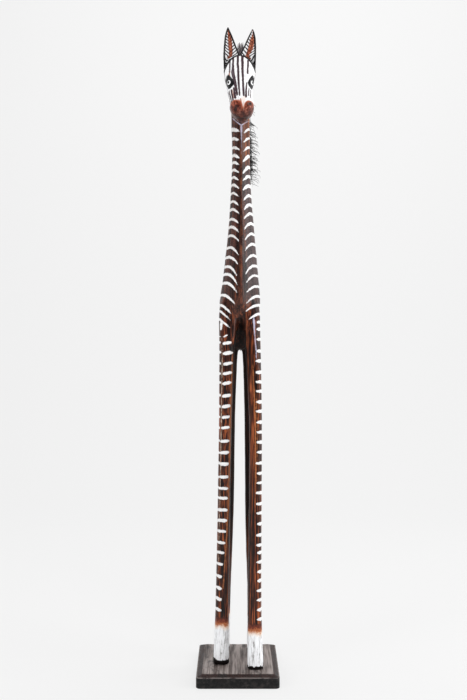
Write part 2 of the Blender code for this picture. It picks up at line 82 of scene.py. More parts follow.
def copyOfPart(nodeName):
    # A welded copy of a part's mesh, as a new bmesh
    bm = bmesh.new()
    bm.from_mesh(frame["nodes"][nodeName].data)
    bmesh.ops.remove_doubles(bm, verts=bm.verts, dist=0.01 * mm)
    return bm


def meshFrom(name, bm):
    mesh = bpy.data.meshes.new(name)
    bm.to_mesh(mesh)
    bm.free()
    return mesh


def addObject(name, data):
    added = bpy.data.objects.new(name, data)
    bpy.context.scene.collection.objects.link(added)
    return added


def placePiece(name, mesh, material, replaced):
    piece = addObject(name, mesh)
    mesh.materials.clear()
    mesh.materials.append(material)
    mesh.shade_smooth()
    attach(piece, "root")
    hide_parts(*replaced)


def remeshed(bm, voxel, cutter=None):
    # Even clay-like skin over the shape, with a hollow cut first if there is one
    blank = addObject("blank", meshFrom("blank", bm))
    if cutter:
        cut = blank.modifiers.new("hollow", "BOOLEAN")
        cut.operation = "DIFFERENCE"
        cut.solver = "EXACT"
        cut.object = cutter
    skin = blank.modifiers.new("skin", "REMESH")
    skin.mode = "VOXEL"
    skin.voxel_size = voxel * mm
    depsgraph = bpy.context.evaluated_depsgraph_get()
    done = bpy.data.meshes.new_from_object(blank.evaluated_get(depsgraph))
    bpy.data.objects.remove(blank)
    out = bmesh.new()
    out.from_mesh(done)
    return out


def smoothed(bm, rounds, verts=None):
    verts = list(bm.verts) if verts is None else verts
    for _ in range(rounds):
        bmesh.ops.smooth_vert(
            bm, verts=verts, factor=0.5, use_axis_x=True, use_axis_y=True, use_axis_z=True
        )


def pointsOf(mesh):
    flat = np.empty(len(mesh.vertices) * 3, np.float32)
    mesh.vertices.foreach_get("co", flat)
    return flat.reshape(-1, 3).astype(np.float64) / mm


def normalsOf(mesh):
    flat = np.empty(len(mesh.vertices) * 3, np.float32)
    mesh.vertices.foreach_get("normal", flat)
    return flat.reshape(-1, 3).astype(np.float64)


def movePoints(mesh, points):
    mesh.vertices.foreach_set("co", (points * mm).astype(np.float32).ravel())
    mesh.update()


def storeField(mesh, name, values):
    layer = mesh.attributes.new(name, "FLOAT", "POINT")
    layer.data.foreach_set("value", np.asarray(values, np.float32))


def crestOf(mesh, rounds=2):
    # How far each point stands out from its neighbours, for worn edges and dark hollows
    points, normals = pointsOf(mesh), normalsOf(mesh)
    pairs = np.empty(len(mesh.edges) * 2, np.int32)
    mesh.edges.foreach_get("vertices", pairs)
    a, b = pairs.reshape(-1, 2).T
    count = np.bincount(a, minlength=len(points)) + np.bincount(b, minlength=len(points))

    def neighbourMean(values):
        total = np.zeros_like(values)
        np.add.at(total, a, values[b])
        np.add.at(total, b, values[a])
        return total / np.maximum(count, 1).reshape((-1,) + (1,) * (values.ndim - 1))

    crest = ((points - neighbourMean(points)) * normals).sum(axis=1)
    for _ in range(rounds):
        crest = neighbourMean(crest)
    return crest


def outlineChart(points, chosen, step=4.0):
    # Each point's place across the piece, seen from the front and measured against the outline
    # of the chosen points at its level: 0 in the middle, 1 at the outline on the animal's left,
    # 2 at the middle of the back. Also the half width of the outline at that level.
    z = points[:, 2]
    bottom = z[chosen].min()
    rows = int((z[chosen].max() - bottom) / step) + 1
    row = np.clip(((z - bottom) / step).astype(int), 0, rows - 1)
    low, high = np.full((rows, 2), 1e9), np.full((rows, 2), -1e9)
    np.minimum.at(low, row[chosen], points[chosen, :2])
    np.maximum.at(high, row[chosen], points[chosen, :2])
    levels = bottom + (np.arange(rows) + 0.5) * step
    middle = np.interp(z, levels, (low[:, 0] + high[:, 0]) / 2)
    half = np.interp(z, levels, np.maximum((high[:, 0] - low[:, 0]) / 2, 1))
    depth = np.interp(z, levels, (low[:, 1] + high[:, 1]) / 2)
    share = np.clip((points[:, 0] - middle) / half, -1, 1)
    behind = points[:, 1] > depth
    share = np.where(behind, np.where(share < 0, -2.0, 2.0) - share, share)
    return share, middle, half


def strokeField(across, along, strokes, reach=-unpainted):
    # Signed distance to brush strokes, plus inside. A stroke is a list of (across, along,
    # half width) and runs straight from one to the next.
    inside = np.full(len(across), -reach)
    for stroke in strokes:
        for (u0, v0, w0), (u1, v1, w1) in zip(stroke, stroke[1:]):
            near = (along > min(v0, v1) - reach) & (along < max(v0, v1) + reach)
            u, v = across[near] - u0, along[near] - v0
            du, dv = u1 - u0, v1 - v0
            t = np.clip((u * du + v * dv) / (du * du + dv * dv + 1e-6), 0, 1)
            depth = w0 + (w1 - w0) * t - np.hypot(u - du * t, v - dv * t)
            inside[near] = np.maximum(inside[near], depth)
    return inside


def bump(across, along, u, v, wide, tall):
    # A soft hill of height 1
    return np.exp(-(((across - u) / wide) ** 2) - ((along - v) / tall) ** 2)


def fade(values, start, end):
    t = np.clip((values - start) / (end - start), 0, 1)
    return t * t * (3 - 2 * t)


def mirrored(strokes):
    return [[(-u, v, w) for u, v, w in stroke] for stroke in strokes]


# Shader helpers

def addNode(tree, kind, **settings):
    node = tree.nodes.new("ShaderNode" + kind)
    for name, value in settings.items():
        setattr(node, name, value)
    return node


def feed(tree, socket, value):
    if isinstance(value, bpy.types.NodeSocket):
        tree.links.new(value, socket)
    elif isinstance(value, (tuple, list)) and socket.type == "RGBA" and len(value) == 3:
        socket.default_value = (*value, 1)
    else:
        socket.default_value = value


def calc(tree, operation, *values):
    node = addNode(tree, "Math", operation=operation)
    for socket, value in zip(node.inputs, values):
        feed(tree, socket, value)
    return node.outputs[0]


def times(tree, first, second):
    return calc(tree, "MULTIPLY", first, second)


def blendColour(tree, factor, first, second):
    node = addNode(tree, "Mix", data_type="RGBA", clamp_factor=True)
    feed(tree, node.inputs[0], factor)
    feed(tree, node.inputs[6], first)
    feed(tree, node.inputs[7], second)
    return node.outputs[2]


def coated(tree, colour, paint, mask, cover):
    # A paint laid over a colour where the mask says, never quite opaque
    return blendColour(tree, times(tree, mask, cover), colour, paint)


def between(tree, value, low, high, newLow=0.0, newHigh=1.0, smooth=True):
    node = addNode(tree, "MapRange", interpolation_type="SMOOTHSTEP" if smooth else "LINEAR")
    for socket, number in zip(node.inputs, (value, low, high, newLow, newHigh)):
        feed(tree, socket, number)
    return node.outputs[0]


def placeParts(tree, place):
    # The place's own x, y and z
    node = addNode(tree, "SeparateXYZ")
    feed(tree, node.inputs[0], place)
    return node.outputs


def ramp(tree, value, stops):
    node = addNode(tree, "ValToRGB")
    feed(tree, node.inputs[0], value)
    marks = node.color_ramp.elements
    while len(marks) < len(stops):
        marks.new(0.5)
    for mark, (place, colour) in zip(marks, stops):
        mark.position = place
        mark.color = (*colour, 1)
    return node.outputs[0]


def stretched(tree, vector, scale):
    node = addNode(tree, "Mapping")
    feed(tree, node.inputs["Vector"], vector)
    feed(tree, node.inputs["Scale"], scale)
    return node.outputs[0]


def speckle(tree, vector, scale, detail=3.0, roughness=0.55):
    node = addNode(tree, "TexNoise")
    feed(tree, node.inputs["Vector"], vector)
    feed(tree, node.inputs["Scale"], scale)
    feed(tree, node.inputs["Detail"], detail)
    feed(tree, node.inputs["Roughness"], roughness)
    return node.outputs["Fac"]


def fibrous(tree, place, scale, detail=3.0, roughness=0.55):
    return speckle(tree, stretched(tree, place, scale), 1.0, detail, roughness)


def stored(tree, name):
    return addNode(tree, "Attribute", attribute_name=name).outputs["Fac"]


def newGroup(name, inputs, outputs):
    group = bpy.data.node_groups.new(name, "ShaderNodeTree")
    for label, kind, value in inputs:
        socket = group.interface.new_socket(label, in_out="INPUT", socket_type="NodeSocket" + kind)
        if value is not None:
            socket.default_value = value
    for label, kind in outputs:
        group.interface.new_socket(label, in_out="OUTPUT", socket_type="NodeSocket" + kind)
    inside = group.nodes.new("NodeGroupInput").outputs
    outside = group.nodes.new("NodeGroupOutput").inputs
    return group, inside, outside


def useGroup(tree, group, **values):
    node = addNode(tree, "Group", node_tree=group)
    for label, value in values.items():
        feed(tree, node.inputs[label], value)
    return node.outputs


# Grain that runs up the wood: broad streaks, fine lines and a height for the pores
grainGroup, given, made = newGroup(
    "Wood grain",
    [("Place", "Vector", None), ("Fineness", "Float", 240.0), ("Run", "Float", 0.03)],
    [("Streaks", "Float"), ("Lines", "Float"), ("Height", "Float")],
)
combine = addNode(grainGroup, "CombineXYZ")
for axis in (0, 1):
    feed(grainGroup, combine.inputs[axis], given["Fineness"])
feed(grainGroup, combine.inputs[2], times(grainGroup, given["Fineness"], given["Run"]))
longPlace = stretched(grainGroup, given["Place"], combine.outputs[0])
feed(grainGroup, made["Streaks"], speckle(grainGroup, longPlace, 0.55, 3.0, 0.6))
fineLines = speckle(grainGroup, longPlace, 2.1, 2.0, 0.7)
feed(grainGroup, made["Lines"], fineLines)
feed(grainGroup, made["Height"], between(grainGroup, fineLines, 0.36, 0.56))

# The ragged edge and thin spots of a hand-painted stroke
brushGroup, given, made = newGroup(
    "Brush stroke",
    [("Distance", "Float", 0.0), ("Place", "Vector", None), ("Wobble", "Float", 0.6),
     ("Softness", "Float", 0.35), ("Bristles", "Vector", (90, 90, 900)),
     ("Cover", "Float", 0.0)],
    [("Mask", "Float"), ("Thickness", "Float")],
)
wander = calc(brushGroup, "SUBTRACT", speckle(brushGroup, given["Place"], 260.0, 3.0), 0.5)
edge = calc(brushGroup, "MULTIPLY_ADD", wander, times(brushGroup, given["Wobble"], 4.0),
            given["Distance"])
shape = between(brushGroup, edge, times(brushGroup, given["Softness"], -1.0),
                given["Softness"])
bristle = speckle(brushGroup, stretched(brushGroup, given["Place"], given["Bristles"]), 1.0, 2.0)
thinPaintAndShade = between(brushGroup, bristle, 0.28, 0.42, 0.55, 1.0)
inner = calc(brushGroup, "MAXIMUM", between(brushGroup, edge, 0.2, 1.6), given["Cover"])
feed(brushGroup, made["Mask"], times(brushGroup, shape,
                                    calc(brushGroup, "MAXIMUM", thinPaintAndShade, inner)))
feed(brushGroup, made["Thickness"], times(brushGroup, shape,
                                         between(brushGroup, bristle, 0.2, 0.8, 0.7, 1.0)))

# Wear on standing edges, and darkening in hollows, from the stored crest
wearGroup, given, made = newGroup(
    "Wear and hollow darkening",
    [("Crest", "Float", 0.0), ("Place", "Vector", None), ("Start", "Float", 0.02),
     ("Full", "Float", 0.12), ("Patchiness", "Float", 120.0)],
    [("Worn", "Float"), ("HollowDark", "Float")],
)
patches = speckle(wearGroup, given["Place"], given["Patchiness"], 4.0, 0.65)
standing = between(wearGroup, given["Crest"], given["Start"], given["Full"])
feed(wearGroup, made["Worn"], times(wearGroup, standing,
                                   between(wearGroup, patches, 0.38, 0.62)))
sunken = between(wearGroup, times(wearGroup, given["Crest"], -1.0),
                 given["Start"], given["Full"])
feed(wearGroup, made["HollowDark"], times(wearGroup, sunken,
                                    between(wearGroup, patches, 0.2, 0.6)))


def newMaterial(name, roughness, coat=0.0, coatRoughness=0.2, gloss=0.5):
    material = bpy.data.materials.new(name)
    material.use_nodes = True
    tree = material.node_tree
    shader = tree.nodes["Principled BSDF"]
    shader.inputs["Roughness"].default_value = roughness
    shader.inputs["Coat Weight"].default_value = coat
    shader.inputs["Coat Roughness"].default_value = coatRoughness
    shader.inputs["Specular IOR Level"].default_value = gloss
    place = addNode(tree, "TexCoord").outputs["Object"]
    return material, tree, shader.inputs, place


def roughen(tree, sockets, tone, low, high):
    feed(tree, sockets["Roughness"], between(tree, tone, 0.3, 0.7, low, high, smooth=False))


def addRelief(tree, sockets, height, distance):
    node = addNode(tree, "Bump")
    node.inputs["Strength"].default_value = 1.0
    node.inputs["Distance"].default_value = distance * mm
    feed(tree, node.inputs["Height"], height)
    feed(tree, sockets["Normal"], node.outputs[0])


def brushed(tree, place, name, wobble=0.6, softness=0.35, bristles=(90, 90, 900), cover=0.0):
    return useGroup(tree, brushGroup, Distance=stored(tree, name), Place=place, Wobble=wobble,
                    Softness=softness, Bristles=bristles, Cover=cover)


# The carved body: neck, trunk and legs in one piece of wood

bodySettings = {
    "voxel": 1.72,
    "figureX": 4.2,
    "bellyZ": 501.0,
    "hollowCentre": (5.6, -64.0, 503.0),
    "hollowSize": (6.4, 36.0, 47.0),
    "blendLow": 470.0,
    "blendHigh": 610.0,
    "blendRounds": 14,
    "gouge": 0.35,
    "legHalf": 10.2,
    "splitX": 4.0,
    "splitY": 8.0,
    "sockTop": 73.0,
    "scorchTop": 90.0,
    "rimTop": 26.6,
    "rimShift": (-0.0016, 0.0012),
    "rightDip": 3.4,
    # Where the white neck strokes start and how far each next one is below, on each side
    "neckStrokes": {
        -1: (833.5, (14, 14, 12, 11, 11.5, 11, 11.5, 12.5, 12.5, 12, 14.5, 12, 13, 18, 14.5, 14,
                     11.5, 13, 17.5, 15, 9.5, 12.5)),
        1: (834.5, (14, 14, 13.5, 17, 14.5, 14.5, 14.5, 14, 13.5, 15, 15.5, 15.5, 17, 15.5, 14.5,
                    16, 14.5, 13.5, 13.5)),
    },
    # Level, the inner end's share of the half width, the fall towards it, its curl and half width
    "neckStyle": {
        -1: ((520, 0.52, 13, 1.1, 1.5), (548, 0.46, 15, 1.1, 1.6), (566, 0.38, 16, 1.3, 1.8),
             (582, 0.28, 16, 2.0, 2.0), (600, 0.20, 16, 2.8, 2.1), (650, 0.18, 12, 3.2, 2.1),
             (700, 0.24, 8, 3.0, 1.9), (745, 0.24, 5.5, 2.6, 1.8), (770, 0.24, 5, 2.0, 1.9),
             (835, 0.18, 5, 1.1, 2.6)),
        1: ((520, 0.45, 7, 1.4, 1.6), (548, 0.42, 8, 1.5, 1.8), (566, 0.36, 10, 1.9, 2.1),
            (600, 0.28, 12, 2.8, 1.8), (650, 0.26, 11, 3.8, 1.9), (700, 0.25, 8, 3.4, 2.1),
            (745, 0.22, 8, 2.6, 2.3), (768, 0.24, 8, 2.0, 2.4), (788, 0.2, 13, 1.3, 2.4),
            (805, 0.26, 8, 1.3, 1.7), (835, 0.34, 8, 1.2, 1.5)),
    },
    # The same for the bars of the front legs
    "legStrokes": {
        "frontRight": (521.0, (10.5, 15, 16, 14.5, 15, 19, 16, 16.5, 16, 20.5, 17.5, 17.5, 19.5,
                               17.5, 15, 18, 16, 16.5, 17.5, 15, 17.5, 19, 18, 16.5, 16.5)),
        "frontLeft": (542.0, (10.5, 15.5, 17.5, 15, 17, 14.5, 14, 16, 14, 16.5, 15, 15, 15, 16.5,
                              15, 14.5, 15, 16.5, 14, 16, 17, 15, 11.5, 14, 14.5, 13.5, 15, 14,
                              14.5, 14.5)),
    },
    "hindBar": ((0.93, 0.8), (1.1, 0.9), (1.35, 1.0), (1.55, 0.7), (1.7, 0.2)),
    # Single strokes as (across, level, half width)
    "dab": [(-27.8, 544, 1.0), (-27.8, 539, 2.2), (-28.4, 531, 1.2)],
    "throatLilac": [
        [(1.0, 839, 0.7), (0.9, 833, 1.5), (0.8, 824, 0.9), (0.5, 805, 0.35), (0.2, 788, 0.1),
         (0.0, 765, -0.3)],
        [(-12, 850, 0.5), (-6, 843, 0.7), (1, 837, 0.9)],
        [(12, 846, 0.5), (6, 841, 0.7), (1, 837, 0.9)],
    ],
    "legLilac": [(23.6, 551, 0.6), (24.4, 543, 1.6), (25.6, 520, 0.7), (27.6, 500, 0.9),
                 (27.6, 478, 0.3)],
    "cornerLine": [(-6.0, 520, 0.1), (-6.2, 480, 0.5), (-6.3, 360, 0.5), (-6.8, 230, 0.3),
                   (-7, 150, 0.1)],
    "redLine": [(0.6, 790, 0.1), (1.0, 700, 0.3), (1.4, 640, 0.35), (1.0, 590, 0.3),
                (0.6, 566, 0.1)],
    "hollowShade": [(5.6, 552, 0.4), (5.6, 532, 4.4), (6.0, 505, 6.6), (6.0, 480, 5.5)],
    # The same with across as a share of the leg's half width
    "cornerHighlights": {
        "frontRight": [[(0.76, 500, 0.7), (0.78, 430, 1.1), (0.74, 275, 1.0), (0.45, 207, 0.9),
                        (0.1, 137, 0.6)]],
        "frontLeft": [[(-0.14, 480, 0.5), (-0.08, 400, 1.1), (-0.02, 330, 0.8), (-0.05, 240, 0.3)],
                      [(0.2, 440, 0.3), (0.28, 380, 0.6), (0.22, 300, 0.3)]],
    },
}


def levelsFrom(start, gaps):
    return [start - sum(gaps[:k]) for k in range(len(gaps) + 1)]


def buildBody():
    s = bodySettings
    sphere = bmesh.new()
    bmesh.ops.create_uvsphere(sphere, u_segments=24, v_segments=16, radius=mm)
    bmesh.ops.scale(sphere, vec=s["hollowSize"], verts=sphere.verts)
    bmesh.ops.translate(sphere, vec=Vector(s["hollowCentre"]) * mm, verts=sphere.verts)
    cutter = addObject("hollow", meshFrom("hollow", sphere))
    bm = remeshed(copyOfPart("carved_body"), s["voxel"], cutter)
    bpy.data.objects.remove(cutter)
    smoothed(bm, 3)
    low, high = s["blendLow"] * mm, s["blendHigh"] * mm
    smoothed(bm, s["blendRounds"], [v for v in bm.verts if low < v.co.z < high])
    middle = (low + high) / 2
    smoothed(bm, s["blendRounds"], [v for v in bm.verts if abs(v.co.z - middle) < (high - low) / 3])
    mesh = meshFrom("Carved_body", bm)

    points, normals = pointsOf(mesh), normalsOf(mesh)
    x, y, z = points.T
    trunk = z > s["bellyZ"] - 8
    trunkShare, trunkMiddle, trunkHalf = outlineChart(points, trunk)
    legs = {
        "frontRight": (x < s["splitX"]) & (y < s["splitY"]),
        "frontLeft": (x >= s["splitX"]) & (y < s["splitY"]),
        "hindRight": (x < s["splitX"]) & (y >= s["splitY"]),
        "hindLeft": (x >= s["splitX"]) & (y >= s["splitY"]),
    }
    below = z < s["bellyZ"] - 4
    legShare = {}
    for name, chosen in legs.items():
        share = outlineChart(points, chosen & below)[0]
        side = -1 if name.endswith("Right") else 1
        outer = trunkMiddle + side * trunkHalf
        upper = (x - outer + side * s["legHalf"]) / s["legHalf"]
        legShare[name] = np.where(below, share, upper)

    # Knife facets: shallow uneven cuts along the wood
    cuts = np.sin(x * 0.9 + 3 * np.sin(z * 0.021)) * np.sin(y * 0.8 + z * 0.045)
    cuts += 0.6 * np.sin(z * 0.16 + x * 0.35) * np.sin(x * 0.5 - y * 0.6)
    depth = -s["gouge"] * (0.5 + 0.5 * cuts)
    # A groove each side of the neck's ridge, fading into the chest
    ridge = fade(z, 570, 640) * fade(-z, -850, -800)
    depth -= 0.35 * ridge * bump(np.abs(trunkShare), z * 0, 0.22, 0, 0.12, 1)
    # Shallow hollows behind the shoulders and before the haunches
    flank = bump(y, z, 2, 545, 9, 26) * (np.abs(x - s["figureX"]) > 12)
    depth -= 1.6 * flank
    points += normals * depth[:, None]
    movePoints(mesh, points)

    # White strokes of the neck and chest
    rand = random.Random(11)
    white = np.full(len(points), unpainted)
    for side, (start, gaps) in s["neckStrokes"].items():
        style = np.array(s["neckStyle"][side])
        for level in levelsFrom(start, gaps):
            inner, fall, curl, half = (np.interp(level, style[:, 0], column)
                                       for column in style.T[1:])
            inner += rand.uniform(-0.03, 0.03)
            fall *= rand.uniform(0.88, 1.12)
            half *= rand.uniform(0.9, 1.1)
            back = rand.uniform(1.55, 1.8)
            lift = rand.uniform(2, 6)
            rise = np.interp(level, (560, 620, 780, 830), (0.0, 1.2, 1.4, 0.4))
            wide = float(trunkHalf[np.argmin(np.abs(z - level) + 99 * ~trunk)])
            line = [(side * (1 - (1 - inner) * t),
                     level + rise * math.sin(math.pi * min(1, t * 1.6)) - fall * t ** curl,
                     half * (1 - 0.8 * t ** 3))
                    for t in (0, 0.15, 0.3, 0.45, 0.58, 0.7, 0.8, 0.9, 1.0)]
            behind = [(side * share, level + lift * ((share - 1) / 0.8) ** 1.5 - 0.5,
                       half * (1 - 0.8 * ((share - 1) / 0.8) ** 2)) for share in (back, 1.4, 1.15)]
            path = [(share * wide, v, w) for share, v, w in behind + line]
            found = strokeField(trunkShare * wide, z, [path])
            white = np.where(trunk & ((z > 598) | (y < -22)), np.maximum(white, found), white)

    # Bars of the front legs
    for name, (start, gaps) in s["legStrokes"].items():
        bars = []
        for level in levelsFrom(start, gaps):
            half = rand.uniform(2.1, 2.7)
            if name == "frontRight":
                half *= np.interp(level, (510, 518), (1.0, 0.5))
                inner = np.interp(level, (100, 150, 207, 240, 275, 430, 500, 508, 520),
                                  (-0.26, -0.30, 0.14, 0.34, 0.48, 0.54, 0.66, 0.84, 0.2))
                outer = np.interp(level, (100, 207, 290, 345, 420, 520),
                                  (-0.9, -0.82, -0.72, -0.58, -0.38, -0.3))
                tilt = np.interp(level, (100, 200, 350, 480), (-2.5, -1.0, 0.6, 2.0))
                bars.append([(inner, level + tilt / 2, half * 0.8),
                             (inner - 0.2, level + tilt / 3, half),
                             (outer + 0.15, level - tilt / 3, half),
                             (outer, level - tilt / 2, half * 0.8)])
                shift = rand.uniform(-1.0, 1.4)
                bars.append([(min(outer - 0.45, -0.84), level + shift, half * 0.55),
                             (-0.95, level + shift, half * 0.85),
                             (-1.05, level + shift, half * 0.8),
                             (-1.12, level + shift + 1, half * 0.3)])
            else:
                inner = np.interp(level, (95, 200, 320, 480, 542), (0.28, 0.2, 0.02, 0.1, 0.42))
                inner += rand.uniform(-0.08, 0.08)
                droop = rand.uniform(-0.8, 0.8)
                bars.append([(inner, level + droop, 0.3), (inner + 0.25, level, half * 0.7),
                             (0.75, level, half), (1.05, level, half * 0.95),
                             (1.12, level, half * 0.3)])
        bars = [[(share * s["legHalf"], v, w) for share, v, w in bar] for bar in bars]
        found = strokeField(legShare[name] * s["legHalf"], z, bars)
        reach = legs[name] & (z < 560) & (below | (y < -22))
        white = np.where(reach, np.maximum(white, found), white)
    # A white dab on the outline where the right front leg begins
    dab = strokeField(x - trunkMiddle, z, [s["dab"]])
    white = np.where((x < s["splitX"]) & (y < -20) & (z < 560), np.maximum(white, dab), white)
    # Bars of the hind legs, on their outer and hind sides
    for name, side in (("hindRight", -1), ("hindLeft", 1)):
        bars, level = [], 486.0
        while level > 100:
            half = rand.uniform(2.1, 2.8)
            bars.append([(side * share * s["legHalf"], level + rand.uniform(-0.8, 0.8), half * w)
                         for share, w in s["hindBar"]])
            level -= rand.uniform(14.5, 18.5)
        found = strokeField(legShare[name] * s["legHalf"], z, bars)
        white = np.where(legs[name] & below, np.maximum(white, found), white)
    # Flank and rump strokes, drawn on the side view
    sideStrokes = []
    for k in range(6):
        base = -22 + 15 * k
        lean = 3 + 1.5 * k
        sideStrokes.append([(base, 588 - abs(k - 2) * 6, 0.5), (base + lean * 0.3, 572, 2.2),
                            (base + lean, 548, 2.5), (base + lean * 1.2, 526 + k, 0.4)])
    found = strokeField(y, z, sideStrokes)
    onFlank = trunk & (np.abs(normals[:, 0]) > 0.45) & (y > -26)
    white = np.where(onFlank, np.maximum(white, found), white)
    storeField(mesh, "white", white)

    # Lilac and reddish lines down the front of the neck and the front legs
    across = x - trunkMiddle
    throat = strokeField(across, z, s["throatLilac"])
    onLeg = strokeField(x, z, [s["legLilac"]])
    storeField(mesh, "lilac", np.where(z > 570, np.where(normals[:, 1] < 0.1, throat, unpainted),
                                       np.where(y < -30, onLeg, unpainted)))
    corner = strokeField(legShare["frontRight"] * s["legHalf"], z, [s["cornerLine"]])
    onCorner = legs["frontRight"] & (y < -22) & (z < 540)
    storeField(mesh, "tanLine", np.where(onCorner, corner, unpainted))
    redLine = strokeField(across, z, [s["redLine"]])
    storeField(mesh, "redLine", np.where((z > 560) & (y < -40), redLine, unpainted))

    # Painted shade, near-black: the hollow, the inner sides, under the belly, and the hind legs'
    # fronts, which are also scorched
    hollow = strokeField(x, z, [s["hollowShade"]])
    dark = fade(hollow, -3, 3) * (y < 0)
    hind = legs["hindRight"] | legs["hindLeft"]
    inward = np.where(x < s["splitX"], normals[:, 0], -normals[:, 0])
    dark = np.maximum(dark, hind * fade(np.maximum(-normals[:, 1], inward), 0.1, 0.6)
                      * fade(z, 110, 260) * (z < 520))
    dark = np.maximum(dark, fade(inward, 0.55, 0.95) * fade(z, 380, 500) * (z < 530))
    dark = np.maximum(dark, fade(-normals[:, 2], 0.3, 0.8) * (z > 470) * (z < 540))
    # A painted shadow in the groove on the right of the neck's ridge
    ridgeShadow = bump(trunkShare, z * 0, -0.2, 0, 0.13, 1) * fade(z, 560, 620) * (y < -30)
    dark = np.maximum(dark, 0.7 * ridgeShadow)
    storeField(mesh, "shadeAndScorch", np.clip(dark, 0, 1))
    # Warmer wood: high on the left of the neck and low on the chest
    warm = fade(z, 765, 812) * fade(across, 0.5, 4.0)
    warm = np.maximum(warm, 0.2 * np.exp(-(((z - 572) / 26) ** 2)) * fade(np.abs(across), 26, 6))
    storeField(mesh, "warm", np.clip(warm, 0, 1))
    # Painted sheen: a purplish-grey haze on the animal's left side of the neck, where the varnish
    # would reflect the right-hand light
    paintedSheen = fade(trunkShare, 0.25, 0.5) * fade(z, 560, 620) * fade(z, 800, 745) * (y < 0)
    storeField(mesh, "paintedSheen", np.clip(paintedSheen, 0, 1))
    storeField(mesh, "crest", crestOf(mesh, 3))
    # Painted highlights: orange lines down the front legs' corners, where the varnish would catch
    # the light
    glow = np.full(len(points), unpainted)
    for name, lines in s["cornerHighlights"].items():
        lines = [[(share * s["legHalf"], v, w) for share, v, w in line] for line in lines]
        found = strokeField(legShare[name] * s["legHalf"], z, lines)
        glow = np.where(legs[name] & below & (y < -15), found, glow)
    storeField(mesh, "glow", glow)
    return mesh


